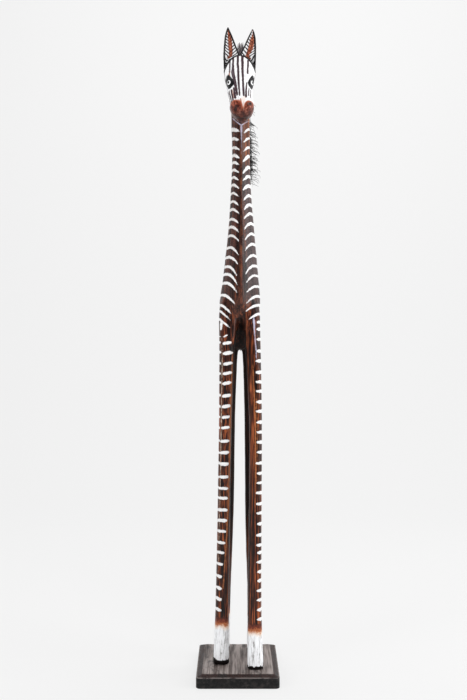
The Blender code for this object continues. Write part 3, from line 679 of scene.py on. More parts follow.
def stainedWoodMaterial():
    s = bodySettings
    material, tree, sockets, place = newMaterial("Stained wood", 0.4, 0.3, 0.28, 0.12)
    grain = useGroup(tree, grainGroup, Place=place, Fineness=390.0, Run=0.02)
    x, _, z = placeParts(tree, place)
    legShare = between(tree, z, 0.585, 0.50)
    lines = grain["Lines"]
    mottle = fibrous(tree, place, (420, 420, 700), 2.0, 0.6)
    neckMix = calc(tree, "ADD", times(tree, grain["Streaks"], 0.45),
                   calc(tree, "ADD", times(tree, lines, 0.25), times(tree, mottle, 0.3)))
    legMix = calc(tree, "ADD", times(tree, grain["Streaks"], 0.35), times(tree, lines, 0.65))
    neckColour = ramp(tree, neckMix, (
        (0.42, (0.004, 0.002, 0.002)), (0.48, (0.022, 0.009, 0.008)),
        (0.54, (0.070, 0.023, 0.016)), (0.61, (0.17, 0.052, 0.028)),
    ))
    legColour = ramp(tree, legMix, (
        (0.45, (0.003, 0.0015, 0.0015)), (0.495, (0.020, 0.006, 0.004)),
        (0.55, (0.090, 0.020, 0.009)), (0.615, (0.38, 0.095, 0.028)),
    ))
    colour = blendColour(tree, legShare, neckColour, legColour)
    warmColour = ramp(tree, legMix, ((0.42, (0.03, 0.010, 0.006)), (0.52, (0.16, 0.045, 0.02)),
                                     (0.62, (0.38, 0.13, 0.05))))
    colour = blendColour(tree, stored(tree, "warm"), colour, warmColour)
    # Painted sheen laid over the wood on that side of the neck
    paintedSheen = times(tree, stored(tree, "paintedSheen"), between(tree, mottle, 0.35, 0.6, 0.2, 0.75))
    colour = blendColour(tree, paintedSheen, colour, (0.105, 0.085, 0.088))
    wear = useGroup(tree, wearGroup, Crest=stored(tree, "crest"), Place=place,
                    Start=0.03, Full=0.13, Patchiness=60.0)
    colour = coated(tree, colour, (0.30, 0.10, 0.04), wear["Worn"], 0.5)
    # Darker in the hollows
    colour = coated(tree, colour, (0.008, 0.005, 0.004), wear["HollowDark"], 0.8)
    # Painted highlight along the leg corners
    glow = brushed(tree, place, "glow", 0.5, 0.8, (700, 700, 20))
    colour = coated(tree, colour, (0.45, 0.15, 0.05), glow["Mask"], 0.75)
    red = brushed(tree, place, "redLine", 0.3, 0.6, (400, 400, 60))
    colour = coated(tree, colour, (0.16, 0.055, 0.04), red["Mask"], 0.6)
    # Painted shade, near-black, over the shaded and scorched parts
    colour = coated(tree, colour, (0.006, 0.0045, 0.004), stored(tree, "shadeAndScorch"), 0.9)
    lilac = brushed(tree, place, "lilac", 0.35, 0.5, (400, 400, 60))
    colour = coated(tree, colour, (0.52, 0.49, 0.62), lilac["Mask"], 0.85)
    tan = brushed(tree, place, "tanLine", 0.35, 0.5, (400, 400, 60))
    colour = coated(tree, colour, (0.62, 0.47, 0.36), tan["Mask"], 0.8)

    # Feet: scorched edge, brushed white sock and a black rim
    ripple = calc(tree, "SUBTRACT", fibrous(tree, place, (170, 170, 30), 3.0), 0.5)
    # The animal's right feet were dipped a little deeper
    dipped = calc(tree, "SUBTRACT", z, between(tree, x, 0.006, 0.002, 0.0, s["rightDip"] * mm))
    ragged = calc(tree, "MULTIPLY_ADD", ripple, 0.014, dipped)
    scorch = between(tree, ragged, (s["scorchTop"] + 1) * mm, (s["scorchTop"] - 2) * mm)
    low, high = (s["sockTop"] - 2) * mm, s["scorchTop"] * mm
    burn = calc(tree, "ADD", between(tree, dipped, low, high, smooth=False),
                times(tree, calc(tree, "SUBTRACT", speckle(tree, place, 330.0, 3.0), 0.5), 0.9))
    scorchColour = ramp(tree, burn, ((0.1, (0.78, 0.57, 0.42)), (0.35, (0.42, 0.135, 0.050)),
                                     (0.65, (0.17, 0.032, 0.014)), (0.9, (0.06, 0.014, 0.008))))
    colour = blendColour(tree, scorch, colour, scorchColour)
    sock = between(tree, ragged, (s["sockTop"] + 5) * mm, (s["sockTop"] - 5) * mm)
    streaks = fibrous(tree, place, (420, 420, 60), 4.0, 0.7)
    sockColour = ramp(tree, streaks, ((0.33, (0.20, 0.19, 0.185)), (0.42, (0.66, 0.66, 0.67)),
                                      (0.52, (0.89, 0.90, 0.92))))
    colour = blendColour(tree, sock, colour, sockColour)
    rimRipple = calc(tree, "SUBTRACT", fibrous(tree, place, (190, 190, 10), 2.0), 0.5)
    rimHeight = calc(tree, "ADD", z, between(tree, x, -0.002, 0.002, *s["rimShift"]))
    rimEdge = calc(tree, "MULTIPLY_ADD", rimRipple, 0.016, rimHeight)
    rim = between(tree, rimEdge, (s["rimTop"] + 0.5) * mm, (s["rimTop"] - 0.5) * mm)
    colour = blendColour(tree, rim, colour, (0.006, 0.004, 0.004))

    white = brushed(tree, place, "white", 0.55, 0.4)
    aboveSock = between(tree, dipped, 0.086, 0.092)
    whiteMask = times(tree, white["Mask"], aboveSock)
    whiteColour = blendColour(tree, fibrous(tree, place, (60, 60, 700)),
                              (0.70, 0.69, 0.69), (0.92, 0.92, 0.92))
    # Painted shade: the white strokes are mixed greyer on the right side of the neck, away from the
    # light
    thinPaintAndShade = times(tree, between(tree, x, 0.0, -0.006, 0.0, 0.6), between(tree, dipped, 0.60, 0.68))
    whiteColour = blendColour(tree, thinPaintAndShade, whiteColour, (0.60, 0.57, 0.55))
    colour = blendColour(tree, whiteMask, colour, whiteColour)
    feed(tree, sockets["Base Color"], colour)

    painted = calc(tree, "MAXIMUM", calc(tree, "MAXIMUM", whiteMask, sock), stored(tree, "shadeAndScorch"))
    rough = between(tree, lines, 0.3, 0.7, 0.34, 0.5, smooth=False)
    rough = calc(tree, "ADD", rough, times(tree, painted, 0.22))
    feed(tree, sockets["Roughness"], rough)
    feed(tree, sockets["Coat Weight"], between(tree, painted, 0.0, 1.0, 0.3, 0.0, smooth=False))
    relief = calc(tree, "MULTIPLY_ADD", grain["Height"], 0.35, times(tree, white["Thickness"], 0.9))
    addRelief(tree, sockets, relief, 0.35)
    return material


stainedWood = stainedWoodMaterial()
bodyMesh = buildBody()
placePiece("Carved_body", bodyMesh, stainedWood, ["carved_body"])
print("body:", len(bodyMesh.polygons), "faces")


# The head

headSettings = {
    "voxel": 0.85,
    "x": 2.9,
    "eyeBulge": 1.5,
    "muzzleRise": 0.4,
    "lobeRise": 0.9,
    "nostrilDepth": 2.4,
    "mouthDepth": 1.0,
    "chin": (0.852, 0.842),
    # Strokes as (across, level, half width); across runs round the head from its middle
    "faceDark": [
        [(-16.6, 930, 1.3), (-18.2, 908, 1.4)],
        [(-10.8, 938, 1.5), (-11.2, 920.5, 1.8), (-12.0, 908, 3.0), (-9.6, 897, 2.7),
         (-7.4, 885.5, 2.3), (-4.8, 869.5, 1.8)],
        [(-3.6, 939.5, 1.6), (-3.6, 920.5, 1.8), (-2.6, 899.5, 1.9), (-1.4, 882, 1.9),
         (-0.4, 868.5, 1.5)],
        [(4.6, 939.5, 2.1), (4.8, 912, 2.0), (5.2, 893.5, 1.7), (6.0, 868.5, 1.6)],
        [(14.0, 929, 1.7), (13.2, 905.5, 1.7)],
        [(11.4, 889, 1.3), (9.6, 866.5, 1.8)],
        [(16.0, 880, 1.2), (15.0, 869, 1.4)],
        [(21.0, 877.5, 1.2), (19.6, 865.5, 1.3)],
        [(-10.2, 880, 1.8), (-8.0, 865, 2.1)],
        [(-15.4, 877.5, 1.8), (-12.8, 861.5, 2.1)],
        [(-21.0, 876.5, 1.7), (-17.0, 856.5, 2.0)],
        [(-27.0, 875.5, 1.6), (-22.4, 853.5, 1.7)],
    ],
    "faceBrown": [[(-17.9, 911, 1.8), (-18.6, 899.5, 1.9)], [(-10.4, 908, 1.3), (-6.3, 882, 1.2)],
                 [(1.0, 862.5, 1.3), (1.2, 854.5, 2.1)], [(4.7, 939, 2.1), (4.8, 908, 1.4)],
                 [(-13.4, 877.5, 1.2), (-10.4, 865.5, 1.2)]],
    "cheekDark": [
        [(36, 926, 0.4), (36, 914, 1.3), (37, 898, 1.5), (35, 883, 0.4)],
        [(44, 924, 0.4), (44, 912, 1.4), (45, 898, 1.3), (44, 888, 0.3)],
    ],
    "lip": ((-30, 850), (-14, 842), (-5, 837.5), (3.4, 836.5), (11, 837.5), (19, 842), (34, 850)),
    "drip": [(5.0, 864, 3.2), (5.2, 858, 1.9), (5.4, 852, 0.8), (5.2, 846, -0.1)],
    "napeAt": (-15.5, -7.5, 0.4, 8.0, 15.8),
    "eyeCentre": {-1: (-19.4, 890.4), 1: (23.0, 890.8)},
    "eyePatchCentre": {-1: (-22.2, 892.8), 1: (26.2, 893.0)},
    "eyePatchSize": (13.0, 12.2),
    "crownTop": 940.8,
    "crownDrop": 23.0,
    "crownHalf": 24.7,
}


def eyePatchField(across, level):
    # A leaf round each eye that leans up and outwards
    inside = np.full(len(across), unpainted)
    wide, tall = headSettings["eyePatchSize"]
    for side, (u, v) in headSettings["eyePatchCentre"].items():
        a, b = np.abs(across - u), np.abs(level - v - 0.25 * side * (across - u))
        inside = np.maximum(inside, 5.0 * (1 - (a / wide) ** 1.5 - (b / tall) ** 1.5))
    return inside


def buildHead():
    s = headSettings
    bm = remeshed(copyOfPart("carved_head"), s["voxel"])
    smoothed(bm, 5)
    mesh = meshFrom("Carved_head", bm)
    points, normals = pointsOf(mesh), normalsOf(mesh)

    def chart(points):
        x, y, z = points[:, 0] - s["x"], points[:, 1], points[:, 2]
        rows = np.arange(z.min(), z.max() + 3, 3.0)
        front = np.full(len(rows), 1e9)
        row = np.clip(((z - rows[0]) / 3).astype(int), 0, len(rows) - 1)
        central = np.abs(x) < 6
        np.minimum.at(front, row[central], y[central])
        front = np.where(front > 1e8, np.interp(rows, rows[front < 1e8], front[front < 1e8]), front)
        depth = np.maximum(y - np.interp(z, rows + 1.5, front), 0)
        return np.sign(x) * (np.abs(x) + 0.75 * depth), z, x, depth

    across, level, frontX, frontDepth = chart(points)
    lift = np.zeros(len(points))
    for u, v in s["eyeCentre"].values():
        lift += s["eyeBulge"] * bump(across, level, u, v, 7.0, 5.0)
        lift += 0.9 * bump(across, level, u, v, 3.0, 2.6)
    patch = eyePatchField(across, level)
    lift -= 0.5 * np.exp(-((patch / 0.9) ** 2))
    brow = strokeField(across, level, [[(-27, 897, 1), (-18, 906, 1), (-10, 902, 1)],
                                       [(29, 897, 1), (20, 907, 1), (11, 902, 1)]])
    lift += 0.9 * fade(brow, -3.5, 0.5)
    lift += 0.5 * np.exp(-((across / 4.0) ** 2)) * fade(level, 872, 890)
    # Muzzle: two lobes with nostrils, a dip between them, a lip line
    muzzle = muzzleField(frontX, level, frontDepth)
    lift += s["muzzleRise"] * fade(muzzle, -1.2, 1.2)
    lift += s["lobeRise"] * (bump(frontX, level, -6.5, 852, 7, 8)
                             + bump(frontX, level, 13.6, 852, 6, 8))
    lift -= 1.6 * bump(frontX, level, 4.8, 858, 2.6, 8)
    lift -= s["nostrilDepth"] * (bump(frontX, level, -6.6, 849.4, 2.2, 3.8)
                                 + 0.8 * bump(frontX, level, 14.4, 855.4, 2.6, 2.0))
    lip = strokeField(frontX, level, [[(u, v, 0.3) for u, v in s["lip"]]])
    lip = np.where(frontDepth < 26, lip, unpainted)
    lift -= s["mouthDepth"] * np.exp(-((np.minimum(lip, 0) / 0.9) ** 2))
    # Cheek and jaw: a soft hollow under the cheekbone
    lift -= 0.9 * (bump(across, level, -33, 872, 9, 8) + bump(across, level, 33, 872, 9, 8))
    x, y, z = points.T
    lift += 0.12 * np.sin(x * 1.3 + z * 0.5) * np.sin(y * 1.1 - z * 0.4)
    points = points + normals * lift[:, None]
    low, high = (np.array(v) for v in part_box("carved_head"))
    points = np.clip(points, low / mm, high / mm)
    movePoints(mesh, points)

    dark = strokeField(across, level,
                       s["faceDark"] + s["cheekDark"] + mirrored(s["cheekDark"]))
    # A painted shadow under the ears: a dark line that follows the crown's arch and swells at both
    # ends
    side = np.minimum(np.abs(frontX) / s["crownHalf"], 1)
    arch = s["crownTop"] - s["crownDrop"] * side ** 2 - 1.9
    steepness = 2 * s["crownDrop"] * side / s["crownHalf"]
    line = 1.6 + 2.6 * side ** 3 - np.abs(level - arch) / np.sqrt(1 + steepness ** 2)
    storeField(mesh, "earShadow", line - 0.3 * np.maximum(frontDepth - 16, 0))
    napeStrokes = [[(u, 941, 0.8), (u * 1.05, 925, 1.5), (u * 0.9, 906, 0.5)] for u in s["napeAt"]]
    nape = np.where(normals[:, 1] > 0.25, strokeField(frontX, level, napeStrokes), unpainted)
    storeField(mesh, "dark", np.maximum(dark, nape))
    storeField(mesh, "brown", strokeField(across, level, s["faceBrown"]))
    storeField(mesh, "patch", patch)
    ring, pupil = np.full(len(points), unpainted), np.full(len(points), unpainted)
    for u, v in s["eyeCentre"].values():
        ring = np.maximum(ring, 3.3 - np.hypot((across - u) / 1.2, (level - v) / 1.1))
        pupil = np.maximum(pupil, 1.9 - np.hypot((across - u) / 1.15, (level - v) / 1.2))
    storeField(mesh, "ring", ring)
    storeField(mesh, "pupil", pupil)
    storeField(mesh, "muzzle", muzzle)
    storeField(mesh, "nostril", np.maximum(
        strokeField(frontX, level, [[(-6.0, 853.4, 1.6), (-6.8, 847.0, 2.3)]]),
        strokeField(frontX, level, [[(11.4, 853.6, 0.9), (15.0, 856.2, 2.0)]])))
    drip = strokeField(frontX, level, [s["drip"]])
    storeField(mesh, "drip", np.where(frontDepth < 20, drip, unpainted))
    storeField(mesh, "lip", lip)
    storeField(mesh, "crest", crestOf(mesh, 3))
    return mesh


def muzzleField(frontX, level, frontDepth):
    # The painted muzzle, seen from the front: two rounded tops that meet and narrow to the chin
    lobes = strokeField(frontX, level, [
        [(-5.2, 852.6, 9.4), (-4.6, 847, 9.6), (-1, 842, 9.0), (3.4, 836, 7.0)],
        [(-14.0, 850, 6.5), (-13, 846, 6.5)], [(22.4, 850, 6.5), (21.5, 846, 6.5)],
        [(13.8, 852.4, 8.2), (12.6, 847, 9.0), (8, 842, 9.0), (3.4, 836, 7.0)],
    ], reach=14.0)
    return np.minimum(lobes, (24 + 0.3 * (level - 850) - frontDepth) * 0.7)


def paintedHeadMaterial():
    material, tree, sockets, place = newMaterial("Painted head", 0.5, 0.06, 0.3, 0.25)
    grain = useGroup(tree, grainGroup, Place=place, Fineness=420.0, Run=0.06)
    base = ramp(tree, grain["Streaks"], ((0.32, (0.62, 0.62, 0.65)), (0.46, (0.83, 0.83, 0.84)),
                                         (0.62, (0.88, 0.88, 0.88))))
    brown = brushed(tree, place, "brown", 0.3, 0.7, (500, 500, 60), 0.8)
    colour = blendColour(tree, times(tree, brown["Mask"], 0.8), base, (0.34, 0.12, 0.06))
    dark = brushed(tree, place, "dark", 0.28, 0.5, (600, 600, 70), 1.0)
    darkColour = blendColour(tree, fibrous(tree, place, (350, 350, 40)),
                             (0.010, 0.006, 0.008), (0.085, 0.045, 0.055))
    washed = times(tree, between(tree, stored(tree, "dark"), 1.5, 2.6), 0.7)
    darkColour = blendColour(tree, washed, darkColour, (0.135, 0.105, 0.125))
    colour = blendColour(tree, dark["Mask"], colour, darkColour)
    # Painted shadow under the ears, near-black
    earShadow = brushed(tree, place, "earShadow", 0.3, 0.4, (500, 500, 200), 1.0)
    colour = blendColour(tree, earShadow["Mask"], colour, (0.010, 0.008, 0.009))
    muzzle = brushed(tree, place, "muzzle", 0.35, 0.8, (300, 300, 60))
    rimGlow = between(tree, stored(tree, "muzzle"), 3.4, 0.4)
    muzzleColour = ramp(tree, fibrous(tree, place, (190, 190, 120), 4.0, 0.65), (
        (0.36, (0.022, 0.005, 0.004)), (0.46, (0.085, 0.017, 0.011)), (0.56, (0.25, 0.058, 0.032)),
        (0.68, (0.56, 0.22, 0.15)),
    ))
    muzzleColour = coated(tree, muzzleColour, (0.42, 0.11, 0.05), rimGlow, 0.7)
    # Painted shade: the muzzle darkens towards the underside of the chin
    chinShade = between(tree, placeParts(tree, place)[2], *headSettings["chin"])
    muzzleColour = coated(tree, muzzleColour, (0.035, 0.012, 0.009), chinShade, 0.7)
    colour = blendColour(tree, muzzle["Mask"], colour, muzzleColour)
    nostril = brushed(tree, place, "nostril", 0.3, 0.9)
    colour = coated(tree, colour, (0.018, 0.007, 0.006), nostril["Mask"], 0.85)
    drip = brushed(tree, place, "drip", 0.4, 0.7, (400, 400, 60))
    colour = coated(tree, colour, (0.82, 0.52, 0.40), drip["Mask"], 0.4)
    lip = between(tree, stored(tree, "lip"), -1.2, 0.1)
    colour = coated(tree, colour, (0.016, 0.008, 0.007), lip, 0.5)
    patch = brushed(tree, place, "patch", 0.25, 0.35, (500, 500, 200), 1.0)
    colour = blendColour(tree, patch["Mask"], colour, (0.008, 0.008, 0.009))
    ring = brushed(tree, place, "ring", 0.12, 0.3, (500, 500, 200), 1.0)
    colour = blendColour(tree, ring["Mask"], colour, (0.88, 0.88, 0.89))
    pupil = brushed(tree, place, "pupil", 0.1, 0.25, (500, 500, 200), 1.0)
    colour = blendColour(tree, pupil["Mask"], colour, (0.006, 0.006, 0.007))
    wear = useGroup(tree, wearGroup, Crest=stored(tree, "crest"), Place=place,
                    Start=0.02, Full=0.09, Patchiness=90.0)
    # Darker in the hollows
    colour = coated(tree, colour, (0.06, 0.035, 0.03), wear["HollowDark"], 0.45)
    feed(tree, sockets["Base Color"], colour)
    smoothPaint = calc(tree, "MAXIMUM", muzzle["Mask"], patch["Mask"])
    feed(tree, sockets["Roughness"], between(tree, smoothPaint, 0.0, 1.0, 0.55, 0.36, smooth=False))
    relief = calc(tree, "MULTIPLY_ADD", dark["Thickness"], 0.5, times(tree, grain["Height"], 0.3))
    addRelief(tree, sockets, relief, 0.25)
    return material


paintedHead = paintedHeadMaterial()
headMesh = buildHead()
placePiece("Carved_head", headMesh, paintedHead, ["carved_head"])
print("head:", len(headMesh.polygons), "faces")


# The ears: hollow leaves with a midrib and slanting veins

earSettings = {
    "voxel": 0.6,
    "rim": 2.7,
    "veinPitch": 4.9,
    "veinSlope": 0.75,
    "veinHalf": 1.05,
    "ribRaise": 0.35,
    "hiddenShare": 0.30,  # how much of the ear stands in the crown
    # Share of the visible height, the rib's place in the half width there, and its half width
    "ribs": {
        "right": ((-0.1, -0.12, -1.5), (-0.02, -0.12, 2.4), (0.35, 0.04, 3.2), (0.6, 0.18, 3.0),
                  (0.85, 0.28, 2.0), (0.97, 0.3, 0.8)),
        "left": ((-0.14, -0.3, -1.5), (-0.02, -0.16, 2.4), (0.3, 0.16, 4.0), (0.6, 0.24, 3.5),
                 (0.72, 0.2, 2.2), (0.8, 0.2, 0.5)),
    },
}


def buildEar(name):
    s = earSettings
    node = "ear_" + name
    bm = remeshed(copyOfPart(node), s["voxel"])
    smoothed(bm, 3)
    mesh = meshFrom("Ear_" + name, bm)
    points, normals = pointsOf(mesh), normalsOf(mesh)
    x, z = points[:, 0], points[:, 2]
    step = 2.0
    rows = int((z.max() - z.min()) / step) + 1
    row = np.clip(((z - z.min()) / step).astype(int), 0, rows - 1)
    low, high = np.full(rows, 1e9), np.full(rows, -1e9)
    np.minimum.at(low, row, x)
    np.maximum.at(high, row, x)
    levels = z.min() + (np.arange(rows) + 0.5) * step
    middle = np.interp(z, levels, (low + high) / 2)
    half = np.interp(z, levels, (high - low) / 2)
    offset = x - middle
    rimDepth = half - np.abs(offset)
    share = (z - z.min()) / (z.max() - z.min())
    ribs = np.array(s["ribs"][name])
    visible = (share - s["hiddenShare"]) / (1 - s["hiddenShare"])
    ribAt = np.interp(visible, ribs[:, 0], ribs[:, 1]) * half
    ribHalf = np.interp(visible, ribs[:, 0], ribs[:, 2])
    rib = ribHalf - np.abs(offset - ribAt)
    slanted = z - s["veinSlope"] * np.abs(offset - ribAt)
    offVein = np.abs((slanted / s["veinPitch"]) % 1.0 - 0.5) * s["veinPitch"]
    vein = np.where(rib > 0.4, -2.0, s["veinHalf"] - offVein)
    top = fade(share, 0.86, 0.9) if name == "left" else fade(share, 0.97, 1.0)
    vein = vein - 3 * top
    rim = s["rim"] - rimDepth
    if name == "left":
        rim = np.where(share > 0.93, rim - 0.9, rim)
    storeField(mesh, "dark", np.maximum(vein, rim))
    storeField(mesh, "rib", rib)
    storeField(mesh, "ribVein", np.where(rib > 0, s["veinHalf"] * 0.8 - offVein, -2.0))
    front = fade(-normals[:, 1], 0.0, 0.5)
    lift = s["ribRaise"] * fade(rib, -0.8, 0.8) * front - 0.18 * fade(vein, -0.5, 0.3) * front
    points = points + normals * lift[:, None]
    boxLow, boxHigh = (np.array(v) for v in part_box(node))
    points = np.clip(points, boxLow / mm, boxHigh / mm)
    movePoints(mesh, points)
    storeField(mesh, "crest", crestOf(mesh, 2))
    return mesh


def paintedEarMaterial():
    material, tree, sockets, place = newMaterial("Painted ear", 0.5, 0.06, 0.3, 0.25)
    grain = useGroup(tree, grainGroup, Place=place, Fineness=500.0, Run=0.08)
    base = ramp(tree, grain["Streaks"], ((0.32, (0.60, 0.60, 0.63)), (0.46, (0.82, 0.82, 0.84)),
                                         (0.62, (0.90, 0.90, 0.90))))
    rib = brushed(tree, place, "rib", 0.3, 0.5, (500, 500, 100), 0.8)
    ribColour = ramp(tree, grain["Lines"], (
        (0.42, (0.08, 0.018, 0.010)), (0.5, (0.30, 0.070, 0.035)), (0.58, (0.52, 0.18, 0.10))))
    colour = blendColour(tree, rib["Mask"], base, ribColour)
    ribVein = brushed(tree, place, "ribVein", 0.2, 0.4, (500, 500, 100))
    colour = coated(tree, colour, (0.06, 0.018, 0.012), ribVein["Mask"], 0.75)
    dark = brushed(tree, place, "dark", 0.22, 0.35, (500, 500, 100), 1.0)
    colour = blendColour(tree, dark["Mask"], colour, (0.010, 0.009, 0.010))
    feed(tree, sockets["Base Color"], colour)
    relief = calc(tree, "MULTIPLY_ADD", dark["Thickness"], 0.5, times(tree, grain["Height"], 0.3))
    addRelief(tree, sockets, relief, 0.2)
    return material


paintedEar = paintedEarMaterial()
for name in ("right", "left"):
    placePiece("Ear_" + name, buildEar(name), paintedEar, ["ear_" + name])
print("ears done")


# The plinth

plinthSettings = {
    "rounding": 0.55,
    "thickness": 19.5,
    "slopeFoot": 15.8,
    "dents": 0.45,
    "cell": 2.2,
}


def buildPlinth():
    s = plinthSettings
    bm = copyOfPart("plinth")
    bmesh.ops.dissolve_limit(bm, angle_limit=math.radians(1), verts=bm.verts, edges=bm.edges)
    shared = [e for e in bm.edges if len(e.link_faces) == 2]
    # The edges of the top and its slopes, then the foot's, but not those of the screw holes
    crisp = [e for e in shared if e.calc_face_angle() > math.radians(10)
             and max(v.co.z for v in e.verts) > 10 * mm and min(v.co.z for v in e.verts) > 1 * mm
             and max(abs(v.co.x) for v in e.verts) > 40 * mm]
    crisp += [e for e in shared if max(v.co.z for v in e.verts) < 0.1 * mm
              and max(abs(v.co.y) for v in e.verts) > 60 * mm]
    bmesh.ops.bevel(bm, geom=crisp, offset=s["rounding"] * mm, affect="EDGES", segments=3,
                    profile=0.5, material=-1, clamp_overlap=True)
    bmesh.ops.triangulate(bm, faces=[f for f in bm.faces if len(f.verts) > 4])
    for normal, half in ((Vector((1, 0, 0)), 62), (Vector((0, 1, 0)), 98)):
        place = -half + s["cell"]
        while place < half:
            bmesh.ops.bisect_plane(bm, geom=bm.verts[:] + bm.edges[:] + bm.faces[:], dist=1e-6,
                                   plane_co=normal * place * mm, plane_no=normal)
            place += s["cell"]
    bmesh.ops.remove_doubles(bm, verts=bm.verts, dist=0.02 * mm)
    bmesh.ops.recalc_face_normals(bm, faces=bm.faces)
    mesh = meshFrom("Plinth", bm)
    points, normals = pointsOf(mesh), normalsOf(mesh)
    x, y, z = points.T
    edge = (np.exp(-(((z - s["slopeFoot"]) / 0.8) ** 2))
            + np.exp(-(((z - s["thickness"] + 0.3) / 0.5) ** 2)))
    chips = fade(np.sin(x * 0.31 + 1) + np.sin(y * 0.27 + 2) + np.sin((x + y) * 0.61), 1.0, 2.0)
    outside = (np.abs(x) > 50) | (np.abs(y + 15.25) > 70)
    lift = -s["dents"] * chips * np.clip(edge, 0, 1) * outside
    movePoints(mesh, points + normals * lift[:, None])
    return mesh


def plinthWoodMaterial():
    s = plinthSettings
    material, tree, sockets, place = newMaterial("Plinth wood", 0.42, 0.0, 0.3, 0.16)
    turned = addNode(tree, "Mapping")
    feed(tree, turned.inputs["Vector"], place)
    turned.inputs["Rotation"].default_value = (math.radians(90), 0, 0)
    grain = useGroup(tree, grainGroup, Place=turned.outputs[0], Fineness=330.0, Run=0.05)
    z = placeParts(tree, place)[2]
    sideColour = ramp(tree, grain["Streaks"], (
        (0.35, (0.006, 0.006, 0.0065)), (0.5, (0.012, 0.0115, 0.012)),
        (0.68, (0.030, 0.026, 0.025))))
    # The top is painted lighter than the sides: worn wood, and a painted sheen for the light the
    # top catches
    topColour = ramp(tree, grain["Streaks"], (
        (0.38, (0.055, 0.040, 0.035)), (0.5, (0.15, 0.122, 0.112)), (0.60, (0.29, 0.25, 0.235))))
    slopeColour = ramp(tree, grain["Lines"], (
        (0.35, (0.010, 0.005, 0.005)), (0.65, (0.040, 0.022, 0.019))))
    slopeShare = between(tree, z, (s["slopeFoot"] - 0.3) * mm, (s["slopeFoot"] + 0.3) * mm)
    topShare = between(tree, z, (s["thickness"] - 0.55) * mm, (s["thickness"] - 0.25) * mm)
    colour = blendColour(tree, slopeShare, sideColour, slopeColour)
    colour = blendColour(tree, topShare, colour, topColour)
    smudge = between(tree, fibrous(tree, place, (55, 20, 60), 4.0, 0.6), 0.54, 0.66)
    colour = coated(tree, colour, (0.012, 0.010, 0.010), smudge, 0.75)
    fine = fibrous(tree, place, (900, 40, 900), 3.0, 0.7)
    scratch = between(tree, fine, 0.62, 0.74)
    colour = coated(tree, colour, (0.22, 0.20, 0.19), scratch, 0.35)
    # A light line along the slope's lower edge: rubbed wear and a painted highlight
    offEdge = calc(tree, "ABSOLUTE", calc(tree, "SUBTRACT", z, s["slopeFoot"] * mm))
    rubbedHighlight = times(tree, between(tree, offEdge, 0.9 * mm, 0.2 * mm),
                  between(tree, speckle(tree, place, 70.0, 4.0), 0.34, 0.5))
    colour = coated(tree, colour, (0.19, 0.165, 0.155), rubbedHighlight, 0.75)
    scuff = between(tree, fibrous(tree, place, (35, 35, 160), 5.0, 0.7), 0.62, 0.72)
    colour = coated(tree, colour, (0.12, 0.115, 0.115), scuff, 0.35)
    feed(tree, sockets["Base Color"], colour)
    roughen(tree, sockets, grain["Lines"], 0.36, 0.56)
    addRelief(tree, sockets, grain["Height"], 0.25)
    return material


plinthWood = plinthWoodMaterial()
plinthMesh = buildPlinth()
placePiece("Plinth", plinthMesh, plinthWood, ["plinth"])
print("plinth:", len(plinthMesh.polygons), "faces")


# Hair: loose plant fibres, each a thin tapering tube

hairSettings = {
    "thickness": 0.42,
    "steps": 7,
    "maneOut": (6, 12, 36, 60, 90, 150, 28),
    "maneBehind": (60, 60, 60, 60, 60, 60, 60),
    "forelockCount": 80,
    "tailCount": 150,
}


def keepInside(paths, margin=0.6):
    low, high = cadBox
    for path in paths:
        for point in path:
            for k in (0, 1, 2):
                point[k] = min(max(point[k], low[k] / mm + margin), high[k] / mm - margin)
    return paths


def buildFibres(name, paths, thickness):
    curve = bpy.data.curves.new(name, "CURVE")
    curve.dimensions = "3D"
    curve.bevel_depth = thickness * mm
    curve.bevel_resolution = 0
    curve.use_fill_caps = True
    for path in keepInside(paths):
        spline = curve.splines.new("POLY")
        spline.points.add(len(path) - 1)
        for k, (point, place) in enumerate(zip(spline.points, path)):
            point.co = (*(Vector(place) * mm), 1)
            point.radius = 1.0 - 0.72 * (k / (len(path) - 1)) ** 1.6
    holder = addObject(name, curve)
    mesh = bpy.data.meshes.new_from_object(holder)
    bpy.data.objects.remove(holder)
    mesh.name = name
    return mesh


def partMiddle(node):
    low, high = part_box(node)
    middle = [(a + b) / 2 / mm for a, b in zip(low, high)]
    return middle, [a / mm for a in low], [b / mm for b in high]


def maneFibres(node, outCount, behindCount, rand):
    # Loose ends that show beside the neck, and the fuller mane that lies behind it
    middle, low, high = partMiddle(node)
    root = Vector((low[0] + 2.0, low[1] + 5.6, high[2] - 3.0))
    width, drop = high[0] - low[0], high[2] - low[2]
    paths = []
    for k in range(outCount + behindCount):
        start = root + Vector((rand.gauss(0, 1.2), rand.gauss(0, 0.5), rand.uniform(-12, 9)))
        outside = k < outCount
        wild = outside and rand.random() < 0.2
        out = width * (rand.uniform(0.8, 1.3) if wild else rand.uniform(0.4, 0.75) if outside
                       else rand.uniform(0.05, 0.4))
        fall = drop * rand.uniform(0.4, 1.0) * (0.3 if wild else 1.0)
        back = rand.gauss(3, 3.0) if outside else rand.uniform(1.5, 12)
        kink = rand.uniform(-1.4, 1.4)
        path = []
        for step in range(hairSettings["steps"]):
            t = step / (hairSettings["steps"] - 1)
            path.append(start + Vector((
                out * math.sin(t * math.pi / 2 * (1.0 if wild else 1.2)) + kink * math.sin(t * 7),
                back * math.sin(t * math.pi * 0.6) + 1.5 * math.sin(t * math.pi),
                2.0 * math.sin(t * math.pi) - fall * t ** 1.7 + kink * math.sin(t * 5 + 1),
            )))
        paths.append(path)
    return paths


